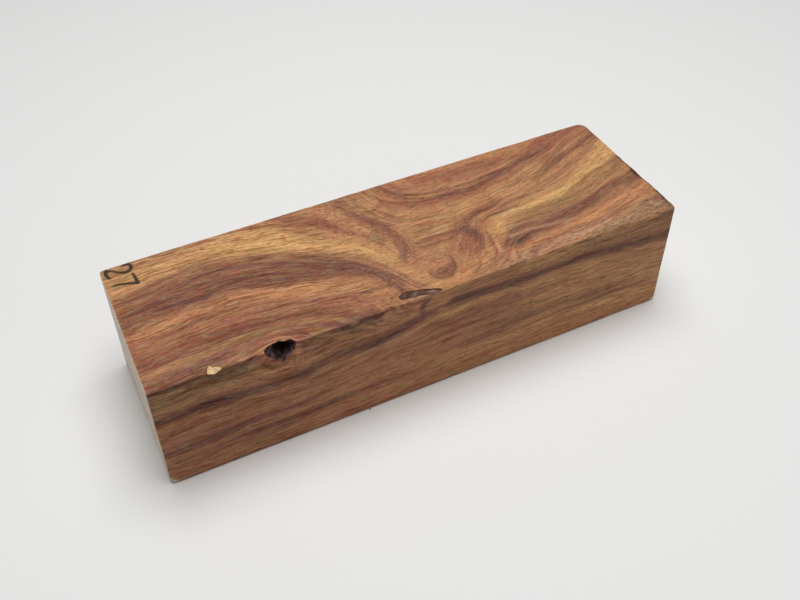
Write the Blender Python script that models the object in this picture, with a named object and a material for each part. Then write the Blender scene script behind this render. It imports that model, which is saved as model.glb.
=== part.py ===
# Ironwood block: a sawn rectangular blank of desert ironwood, grown as one piece.
# +X runs along the grain, +Z is up, and the origin is at the middle of the flat bottom.
import math

import bmesh
import bpy
from mathutils import Vector, noise

# The blank, in metres
LENGTH = 0.130
WIDTH = 0.040
HEIGHT = 0.031

# The saw left both ends a little off square: lean over the height, turn over the width
LEFT_LEAN, LEFT_TURN = math.radians(0.34), math.radians(0.50)
RIGHT_LEAN, RIGHT_TURN = math.radians(-0.80), math.radians(-0.50)
RIGHT_PROUD = 0.00045  # how much further the right end reaches than the left one

# The sides in order round the block from above, each (name, run along it, way out of it)
SIDES = (
    ("front", Vector((1, 0)), Vector((0, -1))),
    ("right", Vector((0, 1)), Vector((1, 0))),
    ("back", Vector((-1, 0)), Vector((0, 1))),
    ("left", Vector((0, -1)), Vector((-1, 0))),
)
# Radius of the upright edge at the end of each side, and how far its long edges are eased
CORNER_RADIUS = {"front": 0.0012, "right": 0.0022, "back": 0.0010, "left": 0.0005}
TOP_EASE = {"front": 0.00035, "right": 0.0003, "back": 0.0003, "left": 0.0004}
BOTTOM_EASE = {"front": 0.0006, "right": 0.0018, "back": 0.0006, "left": 0.0022}

# The top front edge is torn from here to the right end
TORN_FROM = 0.018
TORN_FADE = 0.012
TORN_DEPTH = 0.0011
TORN_GRAIN = 0.0024
TORN_SEED = 3.1
# The blade tore small teeth out of the top of the right end
TOOTH_DEPTH = 0.0006
TOOTH_LENGTH = 0.0015
TOOTH_SEED = 7.7

# Spacing of the points along the sides, and the faces round a corner and an eased edge
SIDE_STEP = 0.0026
END_STEP = 0.0010
CORNER_FACES = 4
EASE_FACES = 3
LEAST_CORNER = 0.0001

# Knot hole on the top front edge. Each ring is (depth behind the front face, middle x,
# half width, lowest z, highest z). The first one stands outside the wood.
KNOT_RINGS = (
    (-0.0020, -0.0365, 0.0045, 0.0262, 0.0340),
    (0.0003, -0.0365, 0.0044, 0.0264, 0.0334),
    (0.0010, -0.0365, 0.0040, 0.0262, 0.0328),
    (0.0017, -0.0362, 0.0034, 0.0262, 0.0318),
    (0.0022, -0.0359, 0.0026, 0.0264, 0.0306),
    (0.0038, -0.0355, 0.0016, 0.0267, 0.0295),
    (0.0053, -0.0351, 0.0008, 0.0272, 0.0284),
)
KNOT_TIP_SHIFT = 0.0006  # its lower tip lies a little to the right
KNOT_TAPER = 0.80  # how much narrower it is at the lower tip
KNOT_SHARPNESS = 1.5  # how late it narrows
KNOT_FACES = 18
KNOT_ROUGHNESS = 0.00035
KNOT_GRAIN = 0.0016

# Bark pocket: a shallow groove in the top. Each station is (x, y, half width).
POCKET_STATIONS = (
    (-0.0080, -0.0181, 0.00035),
    (-0.0074, -0.0180, 0.00085),
    (-0.0064, -0.0179, 0.00105),
    (-0.0050, -0.0181, 0.00105),
    (-0.0034, -0.0184, 0.00095),
    (-0.0016, -0.0190, 0.00085),
    (0.0002, -0.0197, 0.00075),
    (0.0012, -0.0201, 0.00060),
    (0.0018, -0.0204, 0.00025),
)
POCKET_DEPTH = 0.0007

# Chip knocked out of the top front edge, down to fresh wood
CHIP_LEFT = -0.0528
CHIP_RIGHT = -0.0488
CHIP_MIDDLE = -0.0514
CHIP_BACK = 0.0021
CHIP_DOWN = 0.0012

# Splinter that still hangs on the bottom front edge
SPLINTER_X = -0.0168
SPLINTER_REACH = 0.0007
SPLINTER_THICKNESS = 0.00045
SPLINTER_ROOT = 0.0012
SPLINTER_DROOP = 0.0003
# Along the splinter, from -1 at its root to 1 at its tip, with its thickness there, and the
# corners of its section
SPLINTER_STATIONS = ((-1.0, 1.0), (0.0, 1.0), (0.55, 0.7), (1.0, 0.2))
SPLINTER_SECTION = ((-1, -1), (1, -0.6), (0.7, 1), (-0.6, 0.8))

CUTTER_MARGIN = 0.002  # how far a cutter stands out of the wood

WOOD_COLOR = (0.27, 0.14, 0.075, 1.0)
WOOD_ROUGHNESS = 0.55


def ease_at(side, along, top):
    """How far the edge is worn or torn back at a place along a side."""
    if not top:
        return BOTTOM_EASE[side]
    if side == "front":
        share = min(1.0, max(0.0, (along - TORN_FROM) / TORN_FADE))
        rough = 0.5 + 0.5 * noise.noise(Vector((along / TORN_GRAIN, TORN_SEED, 0.0)))
        return TOP_EASE[side] + TORN_DEPTH * share * rough
    if side == "right":
        tooth = abs(noise.noise(Vector((along / TOOTH_LENGTH, TOOTH_SEED, 0.0))))
        return TOP_EASE[side] + TOOTH_DEPTH * tooth
    return TOP_EASE[side]


def half_run(side):
    return (LENGTH if side in ("front", "back") else WIDTH) / 2


def half_across(side):
    return (WIDTH if side in ("front", "back") else LENGTH) / 2


def off_square(point):
    """Shifts a point so that the end faces lean and turn as they were sawn."""
    x, y, z = point
    lift = z - HEIGHT / 2
    left = math.tan(LEFT_LEAN) * lift + math.tan(LEFT_TURN) * y
    right = math.tan(RIGHT_LEAN) * lift + math.tan(RIGHT_TURN) * y + RIGHT_PROUD
    share = x / LENGTH + 0.5
    return x + left * (1 - share) + right * share, y, z


def ring(top, angle):
    """Points round the block. At angle 0 they are the rim of the flat top or bottom, and at a
    quarter turn they are on the upright sides."""
    inward, drop = 1 - math.sin(angle), 1 - math.cos(angle)
    points = []
    for number, (side, run, out) in enumerate(SIDES):
        before, after = SIDES[number - 1][0], SIDES[(number + 1) % 4][0]
        lead = max(CORNER_RADIUS[before], ease_at(before, half_run(before), top) + LEAST_CORNER)
        trail = max(CORNER_RADIUS[side], ease_at(after, 0.0, top) + LEAST_CORNER)
        start, stop = -half_run(side) + lead, half_run(side) - trail
        count = round(2 * half_run(side) / (SIDE_STEP if side in ("front", "back") else END_STEP))
        for i in range(count + 1):
            along = start + (stop - start) * i / count
            ease = ease_at(side, along, top)
            place = run * along + out * (half_across(side) - ease * inward)
            points.append((place.x, place.y, ease * drop))
        last, first = ease_at(side, stop, top), ease_at(after, -half_run(after), top)
        depth = max(CORNER_RADIUS[side], last + LEAST_CORNER)
        for i in range(1, CORNER_FACES):
            turn = math.pi / 2 * i / CORNER_FACES
            place = (
                run * (stop + (trail - first * inward) * math.sin(turn))
                + out * (half_across(side) - depth + (depth - last * inward) * math.cos(turn))
            )
            share = i / CORNER_FACES
            points.append((place.x, place.y, (last * (1 - share) + first * share) * drop))
    return [off_square((x, y, HEIGHT - z if top else z)) for x, y, z in points]


def solid_from_rings(name, rings):
    """A closed solid through rings of points that all have the same count."""
    mesh = bmesh.new()
    rows = [[mesh.verts.new(point) for point in points] for points in rings]
    count = len(rows[0])
    for lower, upper in zip(rows, rows[1:]):
        for i in range(count):
            j = (i + 1) % count
            mesh.faces.new((lower[i], lower[j], upper[j], upper[i]))
    mesh.faces.new(list(reversed(rows[0])))
    mesh.faces.new(rows[-1])
    return finished(name, mesh)


def finished(name, mesh):
    """Turns a bmesh into an object with its faces pointing out."""
    bmesh.ops.recalc_face_normals(mesh, faces=mesh.faces)
    data = bpy.data.meshes.new(name)
    mesh.to_mesh(data)
    mesh.free()
    made = bpy.data.objects.new(name, data)
    bpy.context.scene.collection.objects.link(made)
    return made


def sawn_blank():
    """The block itself, from the flat bottom to the flat top."""
    quarter = math.pi / 2 / EASE_FACES
    rings = [ring(False, quarter * i) for i in range(EASE_FACES + 1)]
    rings += [ring(True, quarter * i) for i in range(EASE_FACES, -1, -1)]
    return solid_from_rings("ironwood_block", rings)


def knot_hole():
    """The void that a decayed side branch left, wide at the edge and closing inwards."""
    rings = []
    for depth, middle, half_width, low, high in KNOT_RINGS:
        points = []
        for i in range(KNOT_FACES):
            turn = 2 * math.pi * i / KNOT_FACES
            up = 0.5 + 0.5 * math.sin(turn)
            narrow = 1 - KNOT_TAPER * (1 - up) ** KNOT_SHARPNESS
            x = middle + half_width * narrow * math.cos(turn) + KNOT_TIP_SHIFT * (1 - up)
            z = low + (high - low) * up
            spot = Vector((x, depth, z)) / KNOT_GRAIN
            rough = KNOT_ROUGHNESS * noise.noise(spot)
            points.append((x + rough * math.cos(turn), -WIDTH / 2 + depth, z + rough * math.sin(turn)))
        rings.append(points)
    return solid_from_rings("knot_hole_cut", rings)


def bark_pocket():
    """The groove of the bark pocket, from its floor to above the top face."""
    left = [(x, y - half) for x, y, half in POCKET_STATIONS]
    right = [(x, y + half) for x, y, half in reversed(POCKET_STATIONS)]
    levels = (HEIGHT - POCKET_DEPTH, HEIGHT + CUTTER_MARGIN)
    return solid_from_rings("bark_pocket_cut", [[(x, y, z) for x, y in left + right] for z in levels])


def chip():
    """The two small facets of the chip, cut by a wedge that stands out of the edge."""
    front = -WIDTH / 2
    corners = (
        (CHIP_MIDDLE, front + CHIP_BACK, HEIGHT),
        (CHIP_MIDDLE, front, HEIGHT - CHIP_DOWN),
        (CHIP_LEFT, front, HEIGHT),
        (CHIP_RIGHT, front, HEIGHT),
        (CHIP_MIDDLE, front + CHIP_BACK, HEIGHT + CUTTER_MARGIN),
        (CHIP_MIDDLE, front - CUTTER_MARGIN, HEIGHT - CHIP_DOWN),
        (CHIP_LEFT, front - CUTTER_MARGIN, HEIGHT + CUTTER_MARGIN),
        (CHIP_RIGHT, front - CUTTER_MARGIN, HEIGHT + CUTTER_MARGIN),
    )
    mesh = bmesh.new()
    verts = [mesh.verts.new(corner) for corner in corners]
    bmesh.ops.convex_hull(mesh, input=verts)
    return finished("chip_cut", mesh)


def splinter():
    """A thin sliver with its root in the wood, just clear of the surface the block stands on."""
    rings = []
    for share, size in SPLINTER_STATIONS:
        y = -WIDTH / 2 - (SPLINTER_REACH if share > 0 else SPLINTER_ROOT) * share
        half = SPLINTER_THICKNESS / 2 * size
        droop = SPLINTER_DROOP * max(share, 0.0)
        middle_z = BOTTOM_EASE["front"] + SPLINTER_THICKNESS / 2 - droop
        rings.append([
            (SPLINTER_X + droop + half * dx, y, middle_z + half * dz)
            for dx, dz in SPLINTER_SECTION
        ])
    return solid_from_rings("splinter_join", rings)


def combine(body, other, operation):
    """Joins or cuts with a helper object that is never part of the block itself."""
    step = body.modifiers.new(other.name, "BOOLEAN")
    step.operation = operation
    step.solver = "EXACT"
    step.object = other
    other.hide_render = True
    other.display_type = "WIRE"


def wood():
    """Oily, close-grained heartwood as sawn, with a dull sheen."""
    material = bpy.data.materials.new("ironwood")
    material.use_nodes = True
    shader = material.node_tree.nodes["Principled BSDF"]
    shader.inputs["Base Color"].default_value = WOOD_COLOR
    shader.inputs["Roughness"].default_value = WOOD_ROUGHNESS
    shader.inputs["Metallic"].default_value = 0.0
    material.diffuse_color = WOOD_COLOR
    return material


def main():
    for old in list(bpy.data.objects):
        bpy.data.objects.remove(old)
    block = sawn_blank()
    block.data.materials.append(wood())
    combine(block, splinter(), "UNION")
    combine(block, knot_hole(), "DIFFERENCE")
    combine(block, bark_pocket(), "DIFFERENCE")
    combine(block, chip(), "DIFFERENCE")


main()
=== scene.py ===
import itertools
import math

import bmesh
import bpy
import numpy as np
from mathutils import Matrix, Vector


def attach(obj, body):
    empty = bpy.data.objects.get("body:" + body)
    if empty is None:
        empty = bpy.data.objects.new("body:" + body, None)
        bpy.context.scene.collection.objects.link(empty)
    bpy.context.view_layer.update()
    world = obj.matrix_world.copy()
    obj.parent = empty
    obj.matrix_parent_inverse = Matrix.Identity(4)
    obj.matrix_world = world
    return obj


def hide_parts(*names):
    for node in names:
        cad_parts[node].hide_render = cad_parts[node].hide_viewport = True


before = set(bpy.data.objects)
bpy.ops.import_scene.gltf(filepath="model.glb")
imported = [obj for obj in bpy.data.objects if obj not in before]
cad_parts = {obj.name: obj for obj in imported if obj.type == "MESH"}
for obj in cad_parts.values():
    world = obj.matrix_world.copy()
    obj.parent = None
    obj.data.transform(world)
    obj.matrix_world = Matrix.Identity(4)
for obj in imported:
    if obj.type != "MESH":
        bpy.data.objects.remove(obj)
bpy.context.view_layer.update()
mm = 0.001
scene = bpy.context.scene
scene.view_settings.view_transform = "Standard"  # the hex colours below are then what shows


def linearColour(hexCode):
    parts = [int(hexCode[i:i + 2], 16) / 255 for i in (1, 3, 5)]
    return [p / 12.92 if p <= 0.04045 else ((p + 0.055) / 1.055) ** 2.4 for p in parts] + [1.0]


# Adds a node, sets its settings and sockets, and links every socket that is given a socket or a node,
# which stands for its first output
def addNode(tree, kind, inputs=None, **settings):
    made = tree.nodes.new("ShaderNode" + kind)
    for name, value in settings.items():
        setattr(made, name, value)
    for socket, value in (inputs or {}).items():
        if isinstance(value, bpy.types.Node):
            value = value.outputs[0]
        if isinstance(value, bpy.types.NodeSocket):
            tree.links.new(value, made.inputs[socket])
        else:
            made.inputs[socket].default_value = value
    return made


def emptyMaterial(name):
    made = bpy.data.materials.new(name)
    made.use_nodes = True
    made.node_tree.nodes.clear()
    return made, made.node_tree


# Camera: a little to the left of the block and well above it
view = {
    "azimuth": -26.0, "elevation": 44.82, "roll": -0.38,  # degrees
    "target": (5.52, 9.50, 0.0), "distance": 251.4,  # mm
    "sensor": 36.0, "lens": 42.98,
}


def placeCamera():
    azimuth, elevation, roll = (math.radians(view[k]) for k in ("azimuth", "elevation", "roll"))
    back = Vector((
        math.sin(azimuth) * math.cos(elevation),
        -math.cos(azimuth) * math.cos(elevation),
        math.sin(elevation),
    ))
    right = (-back).cross(Vector((0, 0, 1))).normalized()
    up = right.cross(-back)
    rolledRight = right * math.cos(roll) + up * math.sin(roll)
    rolledUp = up * math.cos(roll) - right * math.sin(roll)
    turn = Matrix((rolledRight, rolledUp, back)).transposed().to_4x4()
    camera = bpy.data.objects.new("camera", bpy.data.cameras.new("camera"))
    scene.collection.objects.link(camera)
    camera.matrix_world = Matrix.Translation((Vector(view["target"]) + back * view["distance"]) * mm) @ turn
    camera.data.sensor_width = view["sensor"]
    camera.data.lens = view["lens"]
    camera.data.clip_start = 0.01
    scene.camera = camera


placeCamera()
print("camera placed")


# Smooth random values from -1 to 1, one cell to a unit of the points
def softNoise(points, seed):
    size = 32
    values = np.random.default_rng(seed).uniform(-1, 1, (size, size, size))
    cell = np.floor(points).astype(int)
    part = points - cell
    part = part * part * (3 - 2 * part)
    total = np.zeros(len(points))
    for corner in itertools.product((0, 1), repeat=3):
        index = (cell + corner) % size
        weight = np.prod(np.where(corner, part, 1 - part), axis=1)
        total += weight * values[index[:, 0], index[:, 1], index[:, 2]]
    return total


def noiseAlong(place, seed):
    return softNoise(np.column_stack([place, np.full_like(place, 0.5), np.full_like(place, 0.5)]), seed)


def smoothStep(low, high, value):
    share = np.clip((value - low) / (high - low), 0, 1)
    return share * share * (3 - 2 * share)


# More points on a smooth line through the given ones
def smoothLine(points, parts=4):
    p = np.array(points, float)
    p = np.vstack([2 * p[0] - p[1], p, 2 * p[-1] - p[-2]])
    t = np.linspace(0, 1, parts, endpoint=False)[:, None]
    made = []
    for a, b, c, d in zip(p[:-3], p[1:-2], p[2:-1], p[3:]):
        made.append(0.5 * (2 * b + (c - a) * t + (2 * a - 5 * b + 4 * c - d) * t ** 2
                           + (3 * b - a - 3 * c + d) * t ** 3))
    return np.vstack(made + [p[-2]])


def meshObject(name, points, faces):
    data = bpy.data.meshes.new(name)
    data.from_pydata((np.asarray(points) * mm).tolist(), [], [tuple(int(i) for i in f) for f in faces])
    data.update()
    made = bpy.data.objects.new(name, data)
    scene.collection.objects.link(made)
    return made


# The sawn blank as the CAD has it, in mm
blank = {
    "length": 130.0, "width": 40.0, "height": 31.0,
    "leftLean": 0.34, "leftTurn": 0.50, "rightLean": -0.80, "rightTurn": -0.50,  # degrees off square
    "rightProud": 0.45,
    "corners": {"leftFront": 0.5, "rightFront": 1.2, "rightBack": 2.2, "leftBack": 1.0},
    "wornCorner": 0.8, "wornHeight": 3.0,  # the left front corner is rounder by this much at the bottom
    "topEase": {"front": 0.28, "right": 0.3, "back": 0.25, "left": 0.3},
    "bottomEase": {"front": 0.45, "right": 1.8, "back": 0.6, "left": 1.6},
    "tornFrom": 16.0, "tornFade": 12.0, "tornDepth": 0.8, "tornGrain": 1.7,
    # stretches of the top front edge that are broken in small bites: (middle, reach)
    "bites": [(-50, 7), (-20, 8)], "biteDepth": 1.3, "biteGrain": 0.9,
    "nickDepth": 0.4, "nickGrain": 0.8,
    "toothDepth": 0.7, "toothLength": 1.15,  # along the top of the right end
    "wearDepth": 0.12, "wearGrain": 2.0,  # along the other top edges
    # mesh lines (from, to, step), finer at the edges and round the knot hole
    "linesX": [(-65, -64.4, 0.15), (-64.4, -41, 0.5), (-41, -32, 0.36), (-32, -14, 0.52), (-14, 24, 0.42),
               (24, 62.4, 0.52), (62.4, 65, 0.33)],
    "linesY": [(-20, -19.4, 0.15), (-19.4, -17, 0.34), (-17, 19.4, 0.52), (19.4, 20, 0.15)],
    "linesZ": [(0, 0.6, 0.2), (0.6, 27.6, 0.60), (27.6, 30.4, 0.35), (30.4, 31, 0.15)],
    # unevenness left by the saw, always inward: (depth, size of one patch)
    "hollows": (0.10, (9, 6, 6)), "sawLines": (0.035, (0.9, 14, 14)), "fuzz": (0.28, (1.3, 0.8, 0.8)),
    "fuzzStart": (10, -14.5, 24), "fuzzFull": (30, -18, 29),  # the corner of the block where fibres stand up
}


def meshLines(stretches):
    lines = [stretches[0][0]]
    for start, stop, step in stretches:
        count = max(1, round((stop - start) / step))
        lines += [start + (stop - start) * (i + 1) / count for i in range(count)]
    return np.array(lines, float)


# Points and quads of a box's skin, from its lines along x, y and z
def boxSkin(xs, ys, zs):
    onSkin = np.zeros((len(xs), len(ys), len(zs)), bool)
    sides = []
    for axis, end in itertools.product(range(3), (0, -1)):
        side = [slice(None)] * 3
        side[axis] = end
        sides.append((tuple(side), (axis == 1) != (end == 0)))
        onSkin[tuple(side)] = True
    number = np.full(onSkin.shape, -1)
    number[onSkin] = np.arange(onSkin.sum())
    i, j, k = np.nonzero(onSkin)
    quads = []
    for side, flip in sides:
        sheet = number[side]
        corners = [sheet[:-1, :-1], sheet[1:, :-1], sheet[1:, 1:], sheet[:-1, 1:]]
        quads.append(np.stack(corners[::-1] if flip else corners, -1).reshape(-1, 4))
    return np.column_stack([xs[i], ys[j], zs[k]]), np.concatenate(quads)


# How far each top edge is worn, torn or broken away
def topEase(x, y, side):
    ease = blank["topEase"][side]
    if side == "front":
        torn = smoothStep(blank["tornFrom"], blank["tornFrom"] + blank["tornFade"], x)
        coarse = 0.5 + 0.5 * noiseAlong(x / blank["tornGrain"], 3)
        nicks = np.clip(noiseAlong(x / blank["nickGrain"], 4), 0, 1) ** 2
        bitten = sum(1 - smoothStep(reach / 2, reach, np.abs(x - middle)) for middle, reach in blank["bites"])
        bites = np.clip(noiseAlong(x / blank["biteGrain"], 7), 0, 1)
        return (ease + torn * blank["tornDepth"] * coarse + nicks * blank["nickDepth"]
                + bitten * blank["biteDepth"] * bites)
    if side == "right":
        return ease + blank["toothDepth"] * np.abs(noiseAlong(y / blank["toothLength"], 5))
    return ease + blank["wearDepth"] * np.clip(noiseAlong((x + y) / blank["wearGrain"], 6), 0, 1)


# The ends are a little off square: how far each one is shifted along x
def endShifts(y, z):
    lift = z - blank["height"] / 2
    left, right = ([math.tan(math.radians(blank[end + part])) for part in ("Lean", "Turn")]
                   for end in ("left", "right"))
    return left[0] * lift + left[1] * y, right[0] * lift + right[1] * y + blank["rightProud"]


def easedBlank(points):
    x, y, z = points.T.copy()
    halfLength, halfWidth, height = blank["length"] / 2, blank["width"] / 2, blank["height"]
    corners = blank["corners"]
    left, front = x < 0, y < 0
    radius = np.where(left, np.where(front, corners["leftFront"], corners["leftBack"]),
                      np.where(front, corners["rightFront"], corners["rightBack"]))
    wear = blank["wornCorner"] * (1 - smoothStep(0, blank["wornHeight"], z))
    radius = radius + np.where(left & front, wear, 0)

    # the upright edges, rounded in plan
    dx = np.abs(x) - (halfLength - radius)
    dy = np.abs(y) - (halfWidth - radius)
    corner = (dx > 0) & (dy > 0)
    shrink = np.where(corner, np.maximum(dx, dy) / np.where(corner, np.hypot(dx, dy), 1), 1)
    dx, dy = dx * shrink, dy * shrink
    x = np.where(corner, np.sign(x) * (halfLength - radius + dx), x)
    y = np.where(corner, np.sign(y) * (halfWidth - radius + dy), y)

    # how far in from the outline each point is, and which way is out
    reach = np.where(corner, np.hypot(dx, dy), 1)
    toEnd, toSide = halfLength - np.abs(x), halfWidth - np.abs(y)
    inward = np.where(corner, radius - reach, np.minimum(toEnd, toSide))
    outX = np.where(corner, dx / reach, toEnd <= toSide) * np.sign(x)
    outY = np.where(corner, dy / reach, toEnd > toSide) * np.sign(y)
    for top in (True, False):
        ease = blank["bottomEase"]
        ends = np.where(left, topEase(x, y, "left"), topEase(x, y, "right")) if top \
            else np.where(left, ease["left"], ease["right"])
        sides = np.where(front, topEase(x, y, "front"), topEase(x, y, "back")) if top \
            else np.where(front, ease["front"], ease["back"])
        ease = ends * outX ** 2 + sides * outY ** 2
        down = height - z if top else z
        across, drop = ease - inward, ease - down
        inside = (across > 0) & (drop > 0)
        shrink = np.where(inside, np.maximum(across, drop) / np.where(inside, np.hypot(across, drop), 1), 1)
        move = np.where(inside, across * (1 - shrink), 0)
        x, y = x - outX * move, y - outY * move
        down = np.where(inside, ease - drop * shrink, down)
        z = height - down if top else down

    leftShift, rightShift = endShifts(y, z)
    share = x / blank["length"] + 0.5
    return np.column_stack([x + leftShift * (1 - share) + rightShift * share, y, z])


# Shallow hollows, saw lines across the length, and torn fibres by the right of the top front edge
def surfaceUnevenness(points):
    hollowDepth, hollowSize = blank["hollows"]
    sawDepth, sawSize = blank["sawLines"]
    fuzzDepth, fuzzSize = blank["fuzz"]
    hollow = 0.5 + 0.5 * softNoise(points / hollowSize, 11)
    saw = 0.5 + 0.5 * softNoise(points / sawSize + 7, 12)
    fuzzy = np.prod(smoothStep(np.array(blank["fuzzStart"]), np.array(blank["fuzzFull"]), points), axis=1)
    fuzz = np.clip(softNoise(points / fuzzSize, 13), 0, 1)
    return hollowDepth * hollow ** 2 + sawDepth * saw + fuzzDepth * fuzzy * fuzz


def makeBlank():
    points, quads = boxSkin(*(meshLines(blank[k]) for k in ("linesX", "linesY", "linesZ")))
    points = easedBlank(points)
    body = meshObject("ironwood_body", points, quads)
    normals = np.array([n.vector for n in body.data.vertex_normals])
    points = points - normals * surfaceUnevenness(points)[:, None]
    body.data.vertices.foreach_set("co", (points * mm).ravel())
    body.data.update()
    return body


body = makeBlank()
print("blank made:", len(body.data.polygons), "quads")


# A closed tube through rings of points that all have the same count
def ringObject(name, rings):
    count = len(rings[0])
    faces = [tuple(range(count)), tuple(range((len(rings) - 1) * count, len(rings) * count))]
    for row, i in itertools.product(range(len(rings) - 1), range(count)):
        j = (i + 1) % count
        faces.append((row * count + i, row * count + j, (row + 1) * count + j, (row + 1) * count + i))
    made = meshObject(name, np.concatenate(rings), faces)
    work = bmesh.new()
    work.from_mesh(made.data)
    bmesh.ops.recalc_face_normals(work, faces=work.faces)
    work.to_mesh(made.data)
    work.free()
    return made


# Knot hole in the top front edge: upright rings, each (depth behind the front, middle, half width, low, high)
knotHole = {
    "rings": [
        (-2.00, -36.5, 4.4, 26.2, 33.9), (0.20, -36.5, 4.3, 26.4, 33.2), (0.70, -36.6, 4.2, 26.3, 32.6),
        (1.20, -36.4, 3.8, 26.2, 31.8), (1.70, -36.1, 3.1, 26.3, 31.0), (2.30, -35.9, 2.5, 26.5, 30.3),
        (3.00, -35.7, 1.9, 26.8, 29.6), (3.80, -35.4, 1.2, 27.1, 28.8), (4.30, -35.3, 0.7, 27.4, 28.3),
    ],
    "parts": 3, "points": 44,
    "pinch": 0.80, "pinchPower": 1.5, "tipShift": 0.3,  # narrow at the bottom, its tip off the middle
    "rimRough": 0.16, "rough": 0.34, "grain": 0.9, "lumps": 0.45, "lumpGrain": 1.25,
    "rim": (0.5, 1.4),  # the rim ends and the inside begins at these depths
}


def knotCutter():
    front = -blank["width"] / 2
    rings = []
    for depth, middle, half, low, high in smoothLine(knotHole["rings"], knotHole["parts"]):
        turn = np.linspace(0, 2 * math.pi, knotHole["points"], endpoint=False)
        up = 0.5 + 0.5 * np.sin(turn)
        narrow = 1 - knotHole["pinch"] * (1 - up) ** knotHole["pinchPower"]
        x = middle + half * narrow * np.cos(turn) + knotHole["tipShift"] * (1 - up)
        z = low + (high - low) * up
        ring = np.column_stack([x, np.full_like(x, front + depth), z])
        inside = float(smoothStep(*knotHole["rim"], depth))
        rough = knotHole["rimRough"] + (knotHole["rough"] - knotHole["rimRough"]) * inside
        shift = np.column_stack([
            rough * softNoise(ring / knotHole["grain"], 21),
            inside * knotHole["lumps"] * softNoise(ring / knotHole["lumpGrain"], 24),
            rough * softNoise(ring / knotHole["grain"], 22),
        ])
        rings.append(ring + shift)
    return ringObject("knot_cutter", rings)


# Bark pocket on the top: a groove with a core standing in it. Stations are (x, y, half width), and the
# section is (share of the half width, depth)
barkPocket = {
    "stations": [
        (-8.10, -18.10, 0.20), (-7.85, -18.05, 0.55), (-7.40, -18.0, 0.82), (-6.90, -17.95, 0.98),
        (-6.30, -17.9, 1.04), (-5.60, -18.0, 1.06), (-5.00, -18.1, 1.05), (-4.20, -18.25, 1.0),
        (-3.40, -18.35, 0.96), (-2.50, -18.6, 0.92), (-1.60, -18.85, 0.90), (-0.70, -19.15, 0.86),
        (0.20, -19.45, 0.80), (1.10, -19.8, 0.66), (1.70, -20.1, 0.26),
    ],
    "section": [
        (-1, -0.5), (-1, 0.0), (-0.93, 0.40), (-0.72, 0.50), (-0.50, 0.34), (-0.22, 0.17), (0.1, 0.12),
        (0.4, 0.16), (0.62, 0.26), (0.80, 0.36), (0.94, 0.30), (1, 0.0), (1, -0.5),
    ],
    "fullHalf": 0.7,  # where it is narrower than this, it is also less deep
    "rough": 0.07, "grain": 0.6,
}


def pocketCutter():
    stations = smoothLine(barkPocket["stations"], 2)
    way = np.gradient(stations[:, :2], axis=0)
    way /= np.linalg.norm(way, axis=1)[:, None]
    share, depth = np.array(barkPocket["section"]).T
    rings = []
    for (x, y, half), (wx, wy) in zip(stations, way):
        side = half * share
        z = blank["height"] - np.where(depth > 0, depth * min(1, half / barkPocket["fullHalf"]), depth)
        ring = np.column_stack([x - wy * side, y + wx * side, z])
        ring[:, 2] += np.where(depth > 0, barkPocket["rough"] * softNoise(ring / barkPocket["grain"], 23), 0)
        rings.append(ring)
    return ringObject("pocket_cutter", rings)


# Fresh chip broken out of the top front edge: (x, how far back, how far down)
chip = {
    "stations": [
        (-52.9, 0.05, 0.05), (-52.6, 0.45, 0.25), (-52.2, 0.80, 0.50), (-51.8, 1.70, 0.62),
        (-51.4, 2.10, 0.80), (-51.1, 1.60, 0.98), (-50.8, 1.20, 1.10), (-50.4, 1.25, 0.95),
        (-50.0, 0.95, 0.62), (-49.5, 0.55, 0.42), (-49.1, 0.40, 0.20), (-48.8, 0.05, 0.05),
    ],
    # how its floor runs down: (share of the way back, share of the way down)
    "slope": [(0.62, 0.22), (0.30, 0.55)],
    "out": 1.0, "rough": 0.10, "grain": 0.5,
}


def chipCutter():
    front, top, out = -blank["width"] / 2, blank["height"], chip["out"]
    rings = []
    for x, back, down in chip["stations"]:
        ring = np.array([
            (x, front - out, top + out), (x, front + back, top + out), (x, front + back, top),
            *((x, front + inShare * back, top - downShare * down) for inShare, downShare in chip["slope"]),
            (x, front, top - down), (x, front - out, top - down),
        ])
        floor = ring[3:5]
        uneven = [softNoise(floor / chip["grain"], seed) for seed in (25, 26, 27)]
        floor += chip["rough"] * np.column_stack(uneven)
        rings.append(ring)
    return ringObject("chip_cutter", rings)


# Splinter that hangs on the bottom front edge
splinter = {
    "x": -16.8, "z": 0.75, "reach": 0.68, "root": 0.5,  # its root is sunk in the wood
    "thickness": 0.42, "taper": 0.7, "wide": 0.9, "high": 0.55, "skew": 0.66, "sag": 0.25,
}


def splinterPiece():
    start = splinter["root"] - blank["width"] / 2
    turn = np.linspace(0, 2 * math.pi, 8, endpoint=False)
    rings = []
    for share in (0, 0.25, 0.5, 0.75, 1.0):
        size = splinter["thickness"] * (1 - splinter["taper"] * share)
        x = splinter["x"] + splinter["skew"] * (0.5 - share) + splinter["wide"] * size * np.cos(turn)
        y = start - (splinter["root"] + splinter["reach"] - size) * share
        z = splinter["z"] - splinter["sag"] * share + splinter["high"] * size * np.sin(turn)
        rings.append(np.column_stack([x, np.full_like(x, y), z]))
    return ringObject("splinter_piece", rings)


def carve(piece, tool, operation):
    step = piece.modifiers.new(tool.name, "BOOLEAN")
    step.operation = operation
    step.solver = "EXACT"
    step.material_mode = "TRANSFER"
    step.object = tool


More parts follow.
